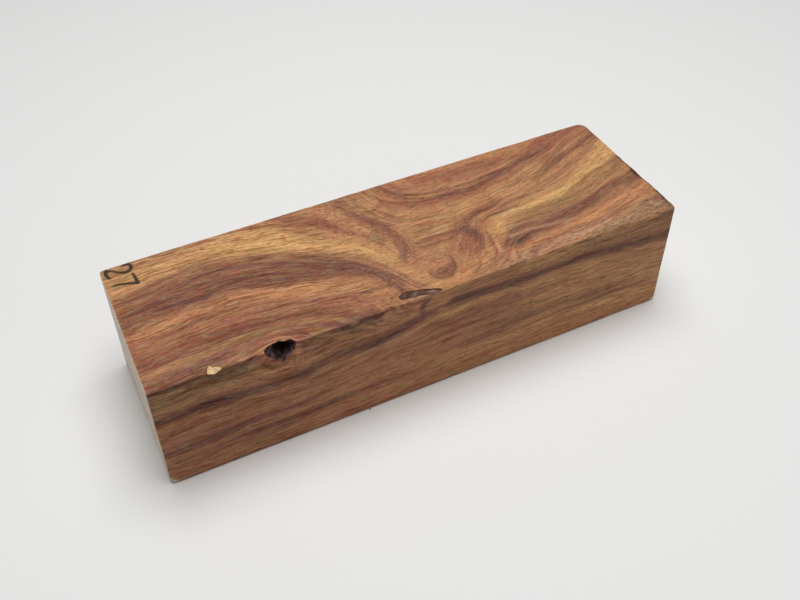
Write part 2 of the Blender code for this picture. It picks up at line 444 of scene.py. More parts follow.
def carveBody():
    tools = []
    for make, material, operation in (
        (splinterPiece, planedIronwood, "UNION"), (knotCutter, decayedBark, "DIFFERENCE"),
        (pocketCutter, resinousBark, "DIFFERENCE"), (chipCutter, freshSplit, "DIFFERENCE"),
    ):
        tool = make()
        tool.data.materials.append(material)
        carve(body, tool, operation)
        tools.append(tool)
    evaluated = body.evaluated_get(bpy.context.evaluated_depsgraph_get())
    data = bpy.data.meshes.new_from_object(evaluated)
    body.modifiers.clear()
    body.data = data
    for tool in tools:
        bpy.data.objects.remove(tool)


# The figure of the wood is laid out on one map that runs over all the faces without a seam: across is y
# on the top and about z - 51 on the front, in mm
figure = {
    # the layers of the front sit this much higher, from this far below the edge
    "lift": 0.8, "liftWithin": 4.0,
    "driftAcross": 0.012, "driftAlong": 0.006,  # how the figure moves on towards the back and the bottom
    "wander": 0.45, "wanderSize": (5, 5, 9),  # it strays this far, over distances of this size
    "stiffness": 2.0,  # how far the layers may leave the lines below
    # the streaks fade from left to right: (from x, to x), and by how much
    "fadeOver": (-32, 12), "fade": 0.42,
    # wax: how far in from the end it fades out, how much further it runs along the bottom, and below which z
    "waxEdge": (0.32, 0.10), "waxRun": 1.5, "waxRunBelow": (2.5, 0.5),
    "wellDepth": 4.5,  # a depth of 1 in the finishes below, in mm
}


def figurePlace(points):
    deep, low = points[:, 1] + blank["width"] / 2, blank["height"] - points[:, 2]
    low = low - figure["lift"] * np.tanh(low / figure["liftWithin"])
    across = deep - low - blank["width"] / 2 + figure["driftAcross"] * deep * low
    return np.column_stack([points[:, 0] + figure["driftAlong"] * deep * low, across]), deep + low


# Growth layers: a layer number, and the line it takes through the wood
growthLines = [
    (22, [(-65, 22), (-30, 23), (-18, 20.5), (-13, 15), (-8, 8), (-5, 2), (-3, -3), (-2, -8)]),
    (19, [(-65, 19), (-50, 19.3), (-38, 19.5), (-28, 19), (-20, 15.5), (-14, 9.5), (-9, 4), (-5.5, -2),
     (-3.5, -7), (-1, -11), (2, -15.3), (6, -17), (11, -16), (16, -12.5), (18.5, -7.5), (21.5, -3),
     (30, -1.5), (45, 0.5), (55, 4.5), (65, 10)]),
    (15, [(-65, 15), (-50, 15.5), (-40, 16), (-30, 14), (-22, 9), (-15, 4.8), (-10, 1), (-6.5, -4),
     (-4.2, -9), (-1.5, -13), (1.5, -17), (6, -18.6), (12, -17.8), (18, -14), (20.5, -8.5), (23.5, -5),
     (30, -4), (40, -3.4), (50, -1.2), (58, 3), (65, 7.5)]),
    (10.5, [(-65, 9.5), (-55, 10.5), (-42, 12), (-35, 10.3), (-28, 8), (-20, 3.6), (-14, -0.5), (-9, -5),
     (-6, -10), (-3.5, -15), (-1, -17.8)]),
    (10.5, [(20, -16), (22.5, -12), (26, -9), (35, -8), (45, -7), (55, -4), (65, -0.5)]),
    (3.5, [(-65, 3), (-55, 4), (-42, 5.3), (-35, 4), (-28, 2.2), (-20, -1.2), (-14, -4), (-9, -8.5),
     (-6.8, -13), (-5, -17)]),
    (3.5, [(22, -16.5), (25, -13.4), (35, -11.8), (45, -10), (55, -6.8), (65, -4)]),
    (-0.5, [(-65, -3), (-60, -2), (-50, -0.7), (-42, 1), (-35, -0.5), (-28, -3.5), (-20, -5), (-12, -8),
     (-8.6, -13), (-7.6, -17), (-4, -22)]),
    (-0.5, [(22, -20), (30, -16), (40, -13.7), (50, -11.5), (65, -7.5)]),
    (-5, [(-65, -7), (-55, -5.8), (-45, -4.6), (-38, -4.6), (-30, -6), (-22, -8), (-15, -10.3), (-11, -13.5),
     (-10.5, -18), (-9, -22)]),
    (-5, [(26, -21), (34, -18), (44, -16), (54, -14), (65, -11.5)]),
    (-10, [(-65, -11.5), (-50, -10.4), (-42, -10), (-35, -10.7), (-25, -12.7), (-17, -15), (-14, -19),
     (-12.5, -23)]),
    (-10, [(34, -22), (44, -20), (54, -19), (65, -17)]),
    (-15, [(-65, -16), (-50, -14.8), (-44, -13.9), (-37, -14.2), (-28, -16.3), (-22, -18.5), (-19, -22)]),
    (-15, [(28, -23.3), (40, -23), (52, -22.8), (65, -22.5)]),
    (-18, [(-65, -20.5), (-52, -19.5), (-46, -18), (-42, -16.2), (-36.5, -15.6), (-31, -17), (-27, -20.5),
     (-22, -24)]),
    (-21, [(-65, -25), (-52, -25), (-45, -25.8), (-40, -27), (-35, -28), (-29, -27), (-20, -26.3)]),
    (-24, [(-65, -28.5), (-50, -28.5), (-35, -29.4), (-30, -29.8), (-20, -28), (-12, -27), (-5, -25.6),
     (2, -24.9), (10, -24.7), (20, -25), (40, -24.7), (50, -25.5), (65, -27)]),
    (-26.5, [(-5, -28.2), (2, -27.4), (10, -27), (20, -27.2)]),
    (-29, [(-65, -33.5), (-45, -33.4), (-30, -34), (-15, -32), (0, -30), (12, -29), (30, -29.5), (50, -30.5),
     (65, -31.5)]),
    (-34, [(-65, -38), (-40, -38), (-15, -37), (0, -36), (15, -35.3), (40, -35.5), (65, -36)]),
    (-40, [(-65, -43.5), (-40, -43.5), (-15, -42.5), (10, -41.5), (40, -41.2), (65, -41.8)]),
    (-46, [(-65, -49), (-20, -48.5), (20, -47.5), (65, -47.8)]),
    (24, [(-9, 21), (-7, 18), (-5, 14), (-4, 10), (-2, 6), (0, 3), (1, 0), (0, -4), (-1, -8), (0.5, -12),
     (3, -15), (6.5, -15.6), (9.5, -13.5), (12.5, -8.5), (16, -5), (21, -1), (30, 1.5), (45, 3.8), (55, 8),
     (65, 13)]),
    (25, [(2.5, -10), (6, -12.5), (9, -11), (11.5, -7.5), (14.5, -4.5)]),
    (26, [(2.5, -6), (6, -8.5), (9.5, -6.5), (14, -3), (20, 0)]),
    (27, [(3, -1.5), (8, -2.5), (14, -0.6), (20, 1.2)]),
    (28, [(-4, 21), (-2.5, 15), (-1, 10), (1, 6.5), (4, 3.5), (9, 2), (15, 1.5), (22, 2.5), (32, 4), (42, 7),
     (52, 10.5), (65, 15.8)]),
    (33, [(1, 21), (2, 15), (4, 10.5), (8, 8), (14, 7), (22, 6.8), (32, 8.5), (42, 11), (52, 14.5),
     (60, 18)]),
    (37, [(5, 20.5), (5.5, 16), (7.5, 13.5), (11, 11), (20, 9.8), (28, 9.8), (36, 11.3), (45, 14), (53, 17)]),
    (41, [(12, 14.5), (20, 13), (30, 13), (40, 15), (48, 18)]),
    (44, [(15, 18), (25, 17), (35, 17.5), (42, 20)]),
]


# The fibres run straighter than the layers, which the saw cut at a slant: (across at the middle, line)
fibreLines = [
    (18, [(-65, 18.5), (-52, 18.8), (-42, 18.6), (-30, 16.8), (-18, 14.6), (-6, 12.5), (6, 11), (18, 10.8),
     (30, 11.8), (42, 13.6), (54, 16.8), (65, 20.4)]),
    (10, [(-65, 9.8), (-52, 10.2), (-40, 9.6), (-28, 7.2), (-16, 4.2), (-4, 1.8), (6, 0.8), (16, 1.4),
     (28, 3.4), (40, 6.6), (52, 10.6), (65, 15.6)]),
    (2, [(-65, 0.8), (-55, 1.8), (-44, 2.4), (-32, 1), (-20, -1.8), (-8, -4), (4, -4.8), (14, -4.2),
     (24, -2.2), (36, -0.2), (48, 2.4), (58, 5.8), (65, 8.4)]),
    (-6, [(-65, -8.2), (-54, -7), (-42, -6.4), (-30, -7.8), (-18, -9.8), (-6, -11), (4, -11.2), (13, -9.8),
     (20, -7.4), (30, -6.4), (42, -5.2), (54, -2.4), (65, 0.8)]),
    (-12, [(-65, -14), (-54, -12.6), (-42, -12.2), (-30, -13.4), (-18, -14.8), (-6, -15.6), (4, -15.8),
     (13, -14.2), (20, -12), (30, -11.4), (42, -10.6), (54, -8.2), (65, -5)]),
    (-17, [(-65, -18.6), (-54, -17.6), (-46, -17), (-41, -15.9), (-36.5, -15.4), (-31, -16.8), (-24, -18.2),
     (-12, -19.4), (0, -19.8), (12, -18.8), (24, -17), (36, -16.6), (50, -15.2), (65, -12.6)]),
    (-24, [(-65, -26.5), (-52, -26.5), (-45, -27), (-35, -28.6), (-29, -27.6), (-20, -26), (-8, -25.2),
     (5, -24.6), (20, -24.4), (40, -24.2), (52, -24.8), (65, -25.8)]),
    (-30, [(-65, -33.2), (-45, -33), (-30, -33.4), (-15, -31.6), (0, -30), (12, -29.2), (30, -29.6),
     (50, -30.6), (65, -31.6)]),
    (-36, [(-65, -39), (-40, -38.8), (-15, -37.6), (0, -36.6), (15, -35.9), (40, -36), (65, -37)]),
    (-42, [(-65, -44.4), (-40, -44.4), (-15, -43.4), (10, -42.5), (40, -42.2), (65, -43)]),
    (-47, [(-65, -49.4), (-20, -49), (20, -48.2), (65, -48.8)]),
]


# Layer number and distance along the grain at each place, as a thin plate bent to the lines
def grainField(place, lines):
    knots, wanted = [], []
    for layer, line in lines:
        points = smoothLine(line, 2)
        run = points[0, 0] + np.concatenate([[0], np.cumsum(np.linalg.norm(np.diff(points, axis=0), axis=1))])
        knots.append(points)
        wanted.append(np.column_stack([np.full(len(points), layer), run]))
    knots, wanted = np.vstack(knots), np.vstack(wanted)

    def bend(a, b):
        squared = ((a[:, None, :] - b[None, :, :]) ** 2).sum(2) + 1e-9
        return 0.5 * squared * np.log(squared)

    flat = np.column_stack([np.ones(len(knots)), knots])
    stiff = figure["stiffness"] * np.eye(len(knots))
    system = np.block([[bend(knots, knots) + stiff, flat], [flat.T, np.zeros((3, 3))]])
    pull = np.linalg.solve(system, np.vstack([wanted, np.zeros((3, 2))]))
    made = []
    for part in np.array_split(place, max(1, len(place) // 8000)):
        made.append(bend(part, knots) @ pull[:-3] + np.column_stack([np.ones(len(part)), part]) @ pull[-3:])
    return np.vstack(made)


# Colour bands for each pigment: (strength, softness, line of (x, across, half width))
figureBands = {
    "olive": [  # greenish brown layers
        (0.6, 1.8, [(26, -8, 1.5), (34, -6.5, 2.2), (42, -5.2, 2.2), (50, -3.3, 2.2), (58, -0.7, 2),
         (66, 2, 2)]),
        (0.9, 0.7, [(10.5, -16.3, 0.5), (11.8, -15.6, 0.7), (13, -15, 0.2)]),
        (0.5, 1.5, [(-4.5, 18, 1), (-3, 14, 1.5), (-2, 9, 1.2), (-3.5, 3, 1.5), (-4.5, -1, 0.8)]),
        (0.8, 0.8, [(-60, -16, 0.4), (-52, -14.8, 0.8), (-45, -14, 0.9), (-38, -14, 0.9), (-33, -14.6, 0.8),
         (-27, -16, 0.6), (-22, -17.3, 0.4)]),
        (0.6, 1.5, [(-66, -23.5, 3), (-55, -23.3, 3), (-47, -23, 2.5), (-42, -23.5, 1)]),
        (0.5, 1.2, [(14, -21.5, 0.8), (24, -22, 1.2), (34, -22, 1.2), (45, -21.8, 1.5), (56, -22.5, 1.5),
         (66, -23, 1.5)]),
        (0.6, 1.2, [(-48, -47, 0.5), (-41, -46.8, 1.3), (-34, -47, 1)]),
        (0.8, 0.9, [(-44.5, -22.2, 0.6), (-42, -23.4, 1.2), (-40.4, -25.2, 0.9)]),
        (0.75, 0.7, [(10.8, -17.2, 0.5), (11.8, -16.4, 0.9), (12.9, -15.2, 0.5)]),
        (0.85, 1.4, [(38, -19.9, 0.4), (46, -19.1, 1.3), (52, -18.3, 2), (58, -17.4, 2.6), (66, -16.4, 3.2)]),
    ],
    "gold": [  # golden layers and the edges of the swirl
        (0.42, 2.4, [(-66, 14, 4.5), (-55, 15, 3.5), (-45, 15, 2.5), (-37, 15, 3)]),
        (0.8, 2.4, [(-42, 15, 1), (-38, 15, 2.8), (-32, 13.5, 4.2), (-27, 12, 4.2), (-22, 9.2, 2.6),
         (-17, 6.3, 1.8), (-12, 3.4, 1.7), (-9, 0.3, 1.8), (-6.5, -2.6, 1.4), (-4.5, -5.8, 1),
         (-3.8, -8.5, 0.9), (-1, -11.5, 1.2), (0.5, -13.5, 1), (2, -16.5, 1.2), (4.5, -18, 1), (9, -17, 0.7),
         (14, -15, 0.7)]),
        (1, 2, [(-32, 13, 2.2), (-26, 11.5, 2.8), (-21, 8, 1.5), (-16, 5.6, 0.8)]),
        (1, 1.2, [(-11, 2.6, 0.6), (-9, 0.7, 1), (-7, -1.6, 1), (-5.2, -4, 0.4)]),
        (0.7, 1.4, [(20.5, -6, 1), (22.5, -7, 1.6), (24, -6, 2), (28, -4, 1.3), (34, -3, 1.3),
         (40, -2.2, 1.7), (45, -1.4, 1.8), (50, 0, 2), (55, 2.6, 2.6), (60, 5, 2.8), (66, 8, 3)]),
        (0.9, 0.8, [(23, -8, 0.4), (24, -6, 0.9), (25, -5, 0.6)]),
        (1, 0.8, [(33, -3.2, 0.5), (38, -2.8, 1), (43, -2, 1.1), (48, -0.8, 0.7)]),
        (0.3, 2.5, [(2, 2, 2), (7, 1.5, 4), (13, 1.5, 3), (20, 4, 2), (28, 5, 2), (36, 4, 1.5), (44, 8, 2)]),
        (0.6, 0.8, [(-35, -4.4, 0.4), (-30, -5, 1), (-25, -6.6, 1), (-20, -6.8, 0.8)]),
        (0.5, 0.9, [(38, -14, 0.3), (46, -13.3, 0.8), (54, -11.5, 0.6)]),
        (0.6, 0.3, [(7.5, 14.2, 0.2), (10, 12.2, 0.25), (15, 10.8, 0.2)]),
        (0.5, 0.9, [(-45, -31.5, 0.4), (-38, -31.3, 0.9), (-30, -31, 0.6), (-22, -30.2, 0.8),
         (-14, -29.9, 0.8), (-8, -29, 0.8), (0, -27.4, 0.9), (8, -26.8, 1), (14, -26.6, 0.8),
         (20, -27.2, 0.4)]),
        (0.4, 0.5, [(-60, -34.7, 0.3), (-50, -34.9, 0.4), (-40, -34.6, 0.4)]),
        (0.45, 1.5, [(24, -28.5, 1), (32, -28.2, 1.3), (40, -28, 1.2), (50, -29, 1), (58, -29.5, 1)]),
        (0.45, 1.5, [(-2, -43.3, 0.6), (6, -43.6, 1.2), (14, -43.4, 1), (26, -43.5, 1), (40, -43.5, 1.4),
         (52, -43.2, 1.6), (62, -43.8, 1.6), (66, -44, 1.5)]),
        (0.5, 0.9, [(-43.6, -22.6, 0.4), (-41.8, -24, 1), (-40.2, -25.6, 0.8)]),
        (0.28, 4.5, [(24, -38, 3), (34, -38, 7), (48, -38, 9), (66, -38, 9)]),
        (0.5, 3, [(42, -43.6, 1.6), (50, -44.2, 2.8), (58, -44.8, 3.2), (66, -45, 3)]),
        (0.4, 1.4, [(22, -21.6, 0.6), (30, -22, 1.2), (38, -21.8, 0.8)]),
        (0.7, 1.6, [(36, 18.2, 1.2), (41, 18.4, 1.8), (47, 19.2, 0.8)]),
        (0.55, 0.5, [(8.9, -14.3, 0.3), (9.4, -15.6, 0.6), (9, -17.4, 0.5)]),
        (0.55, 0.7, [(7.6, -6.8, 0.4), (8.6, -7.6, 1), (9.4, -8.8, 0.5)]),
        (0.85, 0.42, [(20.9, -5.4, 0.15), (20.6, -8.4, 0.38), (20.2, -11.4, 0.38), (19.7, -14.4, 0.3)]),
        (0.8, 0.42, [(8, -1, 0.15), (10, -0.8, 0.45), (12.6, -0.8, 0.45), (14, -0.9, 0.08)]),
        (0.8, 0.42, [(8.4, -2.1, 0.15), (10.4, -2.1, 0.45), (12.6, -2.2, 0.45), (13.4, -2.1, 0.08)]),
        (0.75, 0.37, [(4.2, -4.3, 0.08), (7, -4.7, 0.27), (10.4, -4.8, 0.22)]),
        (0.85, 0.42, [(21.8, -3.2, 0.22), (26, -3.1, 0.45), (31, -3, 0.3)]),
        (0.85, 0.42, [(-15, -13.6, 0.15), (-11.6, -13.9, 0.45), (-8.8, -13.9, 0.15)]),
        (0.8, 0.42, [(3.2, 16.4, 0.15), (5, 13.2, 0.3), (8, 11.4, 0.3), (12, 10.4, 0.3), (18, 9.8, 0.15)]),
    ],
    "orange": [  # warm layers, the rim of the knot hole
        (0.45, 1.2, [(20.6, -9, 0.8), (21.6, -7, 1), (22.6, -5, 0.8)]),
        (0.62, 1.2, [(-66, -5, 1), (-60, -4, 1.5), (-55, -2.9, 1.5), (-48, -2.2, 1.4), (-42, -1.2, 1.7),
         (-37, -1.8, 2), (-32, -4, 1.8), (-27, -5.8, 1.8), (-21, -7, 1.8), (-16, -8, 1.8), (-12.5, -10, 1.8),
         (-10.5, -13, 2), (-10, -16, 2), (-9.5, -18.5, 1.2)]),
        (0.62, 1.2, [(24, -15, 1.2), (30, -14.3, 1.4), (37, -13.7, 1.4), (45, -13, 1.6), (52, -12, 1.7),
         (58, -10.5, 1.6), (66, -8.5, 1.3)]),
        (0.7, 1, [(-2, -9.5, 0.8), (0.5, -12.5, 1.3), (2, -15.5, 1.2), (5, -17.8, 1.2), (10, -17.3, 0.9),
         (15, -15.2, 0.8), (18, -13, 0.8), (20.5, -10, 0.9), (21, -6, 0.8), (22, -3.5, 0.6)]),
        (1, 0.7, [(0, -11.4, 0.3), (1.5, -12.8, 0.8), (3, -13.2, 0.3)]),
        (0.5, 1.5, [(12, 18.5, 0.8), (20, 18.3, 1.4), (28, 17.5, 1.2), (36, 18.5, 1.5), (46, 18, 1.2),
         (52, 18.5, 0.8)]),
        (0.5, 1.5, [(9, -5, 0.8), (10, -8, 1.6), (9, -11, 1.2)]),
        (0.35, 0.6, [(-41.2, -20, 0.2), (-40.2, -18.8, 0.4), (-38.5, -18.1, 0.45), (-36.8, -17.7, 0.5),
         (-35, -17.6, 0.45), (-33.3, -18.4, 0.4), (-32.2, -19.6, 0.35), (-32, -21, 0.2)]),
        (0.7, 0.7, [(-40.8, -20.8, 0.2), (-39.2, -22.8, 0.35), (-37.9, -24.4, 0.4), (-36.2, -25.8, 0.45),
         (-34.8, -25.4, 0.4), (-33.6, -23.6, 0.35), (-32.6, -21.6, 0.2)]),
        (0.9, 0.7, [(-5.5, -20.5, 0.4), (-4.8, -21.5, 0.8), (-4.5, -23, 0.4)]),
        (0.6, 0.8, [(-1, -21, 0.5), (1.5, -22, 1.6), (2.5, -23.5, 1), (3.5, -24.5, 0.2)]),
        (0.5, 2, [(-66, -47.5, 1), (-50, -48, 1), (-30, -47.5, 1.5), (-10, -47, 2.2), (10, -47.5, 2.5),
         (30, -47.5, 2.5), (50, -47.8, 2.5), (66, -48, 2)]),
        (0.75, 0.5, [(-32.6, -20.4, 0.3), (-32.5, -22.5, 0.35), (-32.9, -25, 0.3), (-33, -27, 0.1)]),
    ],
    "red": [  # reddish halo of the knot hole and of the bark pocket
        (0.8, 0.8, [(-42.8, -20.2, 0.3), (-41.5, -20.6, 0.7), (-40.7, -21.8, 0.3)]),
        (0.8, 0.8, [(-32, -18.8, 0.3), (-31, -19.7, 0.7), (-30.8, -21.6, 0.3)]),
        (0.5, 1.2, [(-43.5, -18.7, 0.4), (-40.5, -16.9, 0.8), (-37, -16.2, 0.9), (-33, -16.7, 0.8),
         (-30.3, -18.3, 0.5)]),
        (0.75, 1, [(-43.5, -24.5, 0.2), (-41, -26.8, 0.6), (-38, -28, 0.8), (-35, -28, 0.8),
         (-32.4, -26.5, 0.5)]),
        (0.62, 2, [(-66, -10.5, 4), (-50, -9.5, 4), (-42, -9, 3)]),
        (0.5, 2, [(-46, -9.3, 3.6), (-40, -9, 4), (-32, -10.5, 3.5), (-24, -13, 3), (-17, -14.5, 2),
         (-13, -16, 1)]),
        (0.8, 1.2, [(3, 13, 1.5), (6, 11, 1.8), (10, 8.8, 1.6), (15, 8.2, 1.8), (20, 7.8, 1.8),
         (26, 7.8, 1.6), (32, 8.3, 1), (37, 9.5, 0.4)]),
        (0.4, 1, [(8.8, -9.6, 0.6), (7.8, -12.4, 1.1), (5.9, -14.3, 1.5), (3.7, -14.7, 1.4),
         (2.5, -14.2, 0.5)]),
        (0.35, 2, [(-20, 15, 1.5), (-15, 14, 2.6), (-11, 9, 1.6), (-8, 5, 1)]),
        (0.4, 1.2, [(-15.5, 20, 0.6), (-14.5, 16, 0.8), (-12, 10, 1), (-9, 6, 0.8), (-6.5, 2.2, 0.4)]),
        (0.45, 0.9, [(-7.5, 20, 0.7), (-6.3, 16, 0.9), (-4.5, 11, 1.1), (-2.3, 6.6, 0.9), (-0.2, 3, 0.9),
         (0.8, 0, 0.9), (0.4, -3.5, 0.8), (-0.8, -7, 0.8), (-1.5, -9, 0.2)]),
        (0.5, 2, [(6, 17, 2), (15, 15, 2.5), (25, 15.5, 3), (38, 15.8, 2.2), (50, 17.5, 3), (60, 18, 2.5),
         (66, 18, 2)]),
        (0.58, 2.2, [(-62, -36.6, 1.6), (-54, -36.6, 2.6), (-46, -36.2, 2.6), (-38, -36.4, 1.6),
         (-32, -36.4, 0.6)]),
        (0.5, 2, [(-9, -37.4, 0.8), (-2, -36.4, 2), (5, -35.6, 1.4), (9, -35.4, 0.4)]),
        (0.32, 6, [(-66, -35, 9), (-40, -36, 9), (-15, -36, 8), (5, -36, 6), (18, -36, 2)]),
        (0.6, 0.8, [(-66, -31.5, 0.8), (-55, -31.6, 0.8), (-45, -31.8, 0.6)]),
        (0.7, 0.8, [(2.8, -14.6, 0.5), (4.6, -15, 1), (6.6, -14.6, 0.9), (7.4, -13.2, 0.4)]),
        (0.6, 0.5, [(12.6, -13.9, 0.2), (14.2, -14.2, 0.4), (15.4, -14.8, 0.4), (16.3, -15.3, 0.1)]),
        (0.8, 0.42, [(17, -5.8, 0.15), (17.8, -7.4, 0.3), (17.7, -9.4, 0.3), (16.8, -11.2, 0.3),
         (15.2, -12.8, 0.22), (13.4, -14, 0.15)]),
        (0.75, 0.42, [(20, -5.2, 0.15), (19.6, -8, 0.3), (19.2, -11, 0.3), (18.8, -14, 0.3),
         (18, -16.2, 0.15)]),
        (0.7, 0.42, [(4, -7.4, 0.08), (6.2, -9.2, 0.27), (5.2, -10.6, 0.3), (3.4, -10.9, 0.22),
         (2.8, -9.9, 0.08)]),
        (0.75, 0.42, [(11, -9.2, 0.08), (13, -8, 0.3), (15, -8.6, 0.3), (15.6, -10.4, 0.27),
         (14.4, -12, 0.15)]),
        (0.7, 0.7, [(19.6, 0.2, 0.2), (22, 0.9, 0.6), (25, 1.3, 0.7), (27.6, 2.2, 0.3)]),
        (0.55, 0.8, [(17.4, 4.6, 0.5), (18.6, 5.6, 0.9), (19.8, 6.4, 0.6)]),
        (0.36, 2.5, [(3.5, -10, 2), (8, -9.4, 3.6), (13, -9.4, 3.8), (16.5, -8, 2.6)]),
        (0.34, 1.8, [(2, -6, 1), (8, -5.4, 1.4), (13, -5, 1.4)]),
        (0.5, 1, [(17.6, -5.6, 0.8), (19.4, -5.6, 1), (21, -4.6, 0.5)]),
        (0.85, 0.42, [(15.4, -19.8, 0.1), (18.2, -18.3, 0.3), (20.5, -16.7, 0.35), (22.2, -14.7, 0.3),
         (22.8, -13.2, 0.1)]),
        (0.5, 0.5, [(-8.4, -19.4, 0.2), (-9, -18.3, 0.35), (-8.6, -17.2, 0.35), (-7.3, -16.5, 0.3),
         (-5.8, -16.3, 0.3), (-4.4, -16.9, 0.2)]),
        (0.85, 0.35, [(-9, -20.3, 0.2), (-6, -20.4, 0.35), (-3, -20.5, 0.35), (-1.4, -20.4, 0.15)]),
    ],
    "purple": [  # the dark heart of the figure
        (0.5, 1.6, [(54, -17.4, 0.8), (59, -16.8, 1.6), (63, -16.2, 2.2), (66, -16, 2.2)]),
        (0.9, 0.9, [(60.5, -20.4, 0.3), (63, -20.2, 0.7), (65.2, -19.4, 0.8)]),
        (0.34, 0.7, [(7.4, -13.4, 0.5), (5.4, -14.6, 1.1), (3.5, -14.8, 1.2), (2.6, -14.3, 0.5)]),
        (0.42, 0.9, [(-7.5, 20, 0.5), (-6.3, 16, 0.7), (-4.5, 11, 0.9), (-2.6, 7.6, 0.8), (0, 5.4, 0.8),
         (-0.4, 2.6, 0.8), (0.6, 0.4, 0.8), (1.4, -1.4, 0.9), (0.2, -3.8, 0.8), (-1.2, -5.6, 0.8),
         (-2, -8.2, 0.6), (-2.4, -9.5, 0.2)]),
        (0.66, 1.6, [(-66, 1, 2.5), (-58, 2.2, 3), (-50, 2.3, 3.2), (-42, 3.2, 3.2), (-36, 2.6, 3.3),
         (-28, 1.4, 4.2), (-22, 0.3, 4.6), (-16, -3, 4), (-10.8, -6.5, 2.7), (-8, -9.5, 1.9),
         (-6.2, -12.6, 1.6), (-5.8, -14.8, 0.9), (-5.7, -16, 0)]),
        (0.62, 1, [(-9.6, -7.6, 0.8), (-7.9, -9.6, 1.4), (-6.4, -11.8, 1.6), (-5.8, -13.6, 1.3),
         (-5.8, -15, 0.4)]),
        (0.55, 1.5, [(-62, 8.5, 1), (-55, 8.8, 1.7), (-48, 9, 2.2), (-42, 9.3, 2.4), (-36, 8.3, 1.8),
         (-31, 7.5, 1.6), (-27, 5.5, 1.2), (-24, 4.5, 0)]),
        (0.95, 1, [(-60, 2, 0.6), (-55, 2, 1.4), (-48, 1.5, 1.5), (-43, 2, 1), (-38, 3, 1.2), (-33, 3.2, 0.8),
         (-31, 3, 0)]),
        (0.9, 0.8, [(-35, 8.6, 0), (-32, 8, 0.9), (-30, 7.7, 0.8), (-28, 7, 0)]),
        (0.8, 0.9, [(-33, 0.5, 0), (-28, -1.3, 1.1), (-22, -2.8, 1.4), (-17, -4, 1.3), (-12.6, -5.5, 1.4),
         (-9.5, -7.7, 1.2), (-7.4, -10, 1.1), (-6.2, -12.4, 0.8), (-5.9, -14, 0.3)]),
        (0.8, 0.7, [(7.5, 13.5, 0.1), (10, 11.2, 0.35), (15, 9.9, 0.4), (20, 9.2, 0.5), (27, 9.2, 0.9),
         (33, 10.4, 1), (38, 11.2, 0.7), (42, 12.8, 0.9), (46, 13.5, 0.7), (52, 15.5, 0.3)]),
        (0.7, 0.8, [(39, 12, 0.5), (42, 12.6, 1.1), (45, 13.6, 0.9), (48, 14, 0.1)]),
        (0.7, 0.9, [(40.5, 5, 0.2), (43, 5.8, 0.8), (46, 7.2, 0.8), (51, 9.4, 0.9), (55, 11, 0.6),
         (60, 13, 0.7), (66, 16, 1)]),
        (0.62, 1.3, [(22.5, -12.2, 1.2), (25, -12, 2.2), (29, -11.2, 2.6), (35, -10.8, 2.3), (41, -10.5, 2),
         (46, -9.6, 2.2), (51, -8.3, 2.2), (56, -6.8, 1.9), (61, -5.7, 1.8), (66, -4.6, 2)]),
        (0.85, 0.9, [(23, -13.4, 0.6), (26, -13, 1.2), (30, -12.5, 0.7), (36, -12.4, 0.5), (42, -11.2, 0.8),
         (47, -9.6, 1.2), (52, -8.2, 0.9), (58, -6.4, 0.7), (66, -4.6, 0.8)]),
        (0.8, 0.9, [(13.5, -4.3, 0.4), (15.5, -4, 1.2), (16.8, -5.2, 1.6), (17.2, -7.5, 0.9),
         (17.3, -10, 0.3), (16.5, -12, 0.1)]),
        (0.6, 0.8, [(16.5, -3, 0.3), (17.5, -1.5, 0.6), (17.5, 0.5, 0.2)]),
        (0.6, 1.5, [(-66, -18, 1.6), (-56, -17.8, 1.4), (-48, -17, 1.2), (-43, -16, 0.7), (-38, -15.3, 0.2)]),
        (0.6, 1.3, [(-34, -16, 0.1), (-31, -17.3, 1.2), (-26, -18.6, 1.5), (-20, -19, 1.5),
         (-15, -19.2, 0.8)]),
        (0.8, 0.9, [(-66, -28.5, 1.3), (-55, -28.3, 1.6), (-45, -28.8, 1.5), (-38, -29.3, 1.4),
         (-32, -29, 1.7), (-26, -28.1, 1.6), (-20, -27.8, 1.5), (-13, -27.6, 1.4), (-8, -26.7, 1.2),
         (-3, -25.6, 1), (0, -25.2, 0.5)]),
        (0.8, 0.5, [(-2.5, -25.2, 0.6), (-3.3, -23.6, 0.6), (-2.6, -21.6, 0.5), (-1.3, -20.4, 0.5)]),
        (0.5, 1.2, [(-66, -39.5, 1), (-55, -39.3, 1.4), (-45, -39, 1.2), (-36, -39.2, 0.8), (-28, -39, 0.2)]),
        (0.6, 1.2, [(-64, -43, 0.6), (-55, -43, 1.2), (-45, -42.8, 1.4), (-37, -43.2, 1.3), (-30, -43, 0.8),
         (-22, -42, 0.2)]),
        (0.85, 0.8, [(2.5, -24.5, 0.3), (4.5, -23.9, 1.2), (8, -24.2, 1.5), (14, -24.6, 1.4), (20, -25, 1.4),
         (27, -25, 1.2), (34, -24.7, 1.1), (42, -24.9, 1.1), (50, -25.6, 1.2), (58, -26.4, 1.2),
         (66, -27, 1.3)]),
        (0.5, 1.3, [(9, -38.3, 0.6), (16, -38.4, 1.2), (25, -38, 1.3), (34, -38.8, 1.1), (42, -38.9, 1.3),
         (50, -39.3, 1.1), (56, -39.5, 0.3)]),
        (0.62, 0.6, [(2.6, -14.4, 0.3), (4, -15.1, 0.7), (5.6, -15.2, 0.4)]),
        (0.28, 1.6, [(44, -19.6, 0.6), (52, -18.6, 1.6), (60, -17.6, 2.2), (66, -17, 2.6)]),
    ],
    "pale": [  # pale lines between the darker layers
        (0.8, 0.35, [(-7.6, -19.5, 0.1), (-5, -19.7, 0.2), (-2.6, -19.8, 0.25), (-0.6, -20.2, 0.2)]),
        (0.85, 0.42, [(22.8, -10.7, 0.08), (26, -10.8, 0.28), (31, -11.2, 0.3), (36, -11.9, 0.28),
         (40.5, -12.4, 0.08)]),
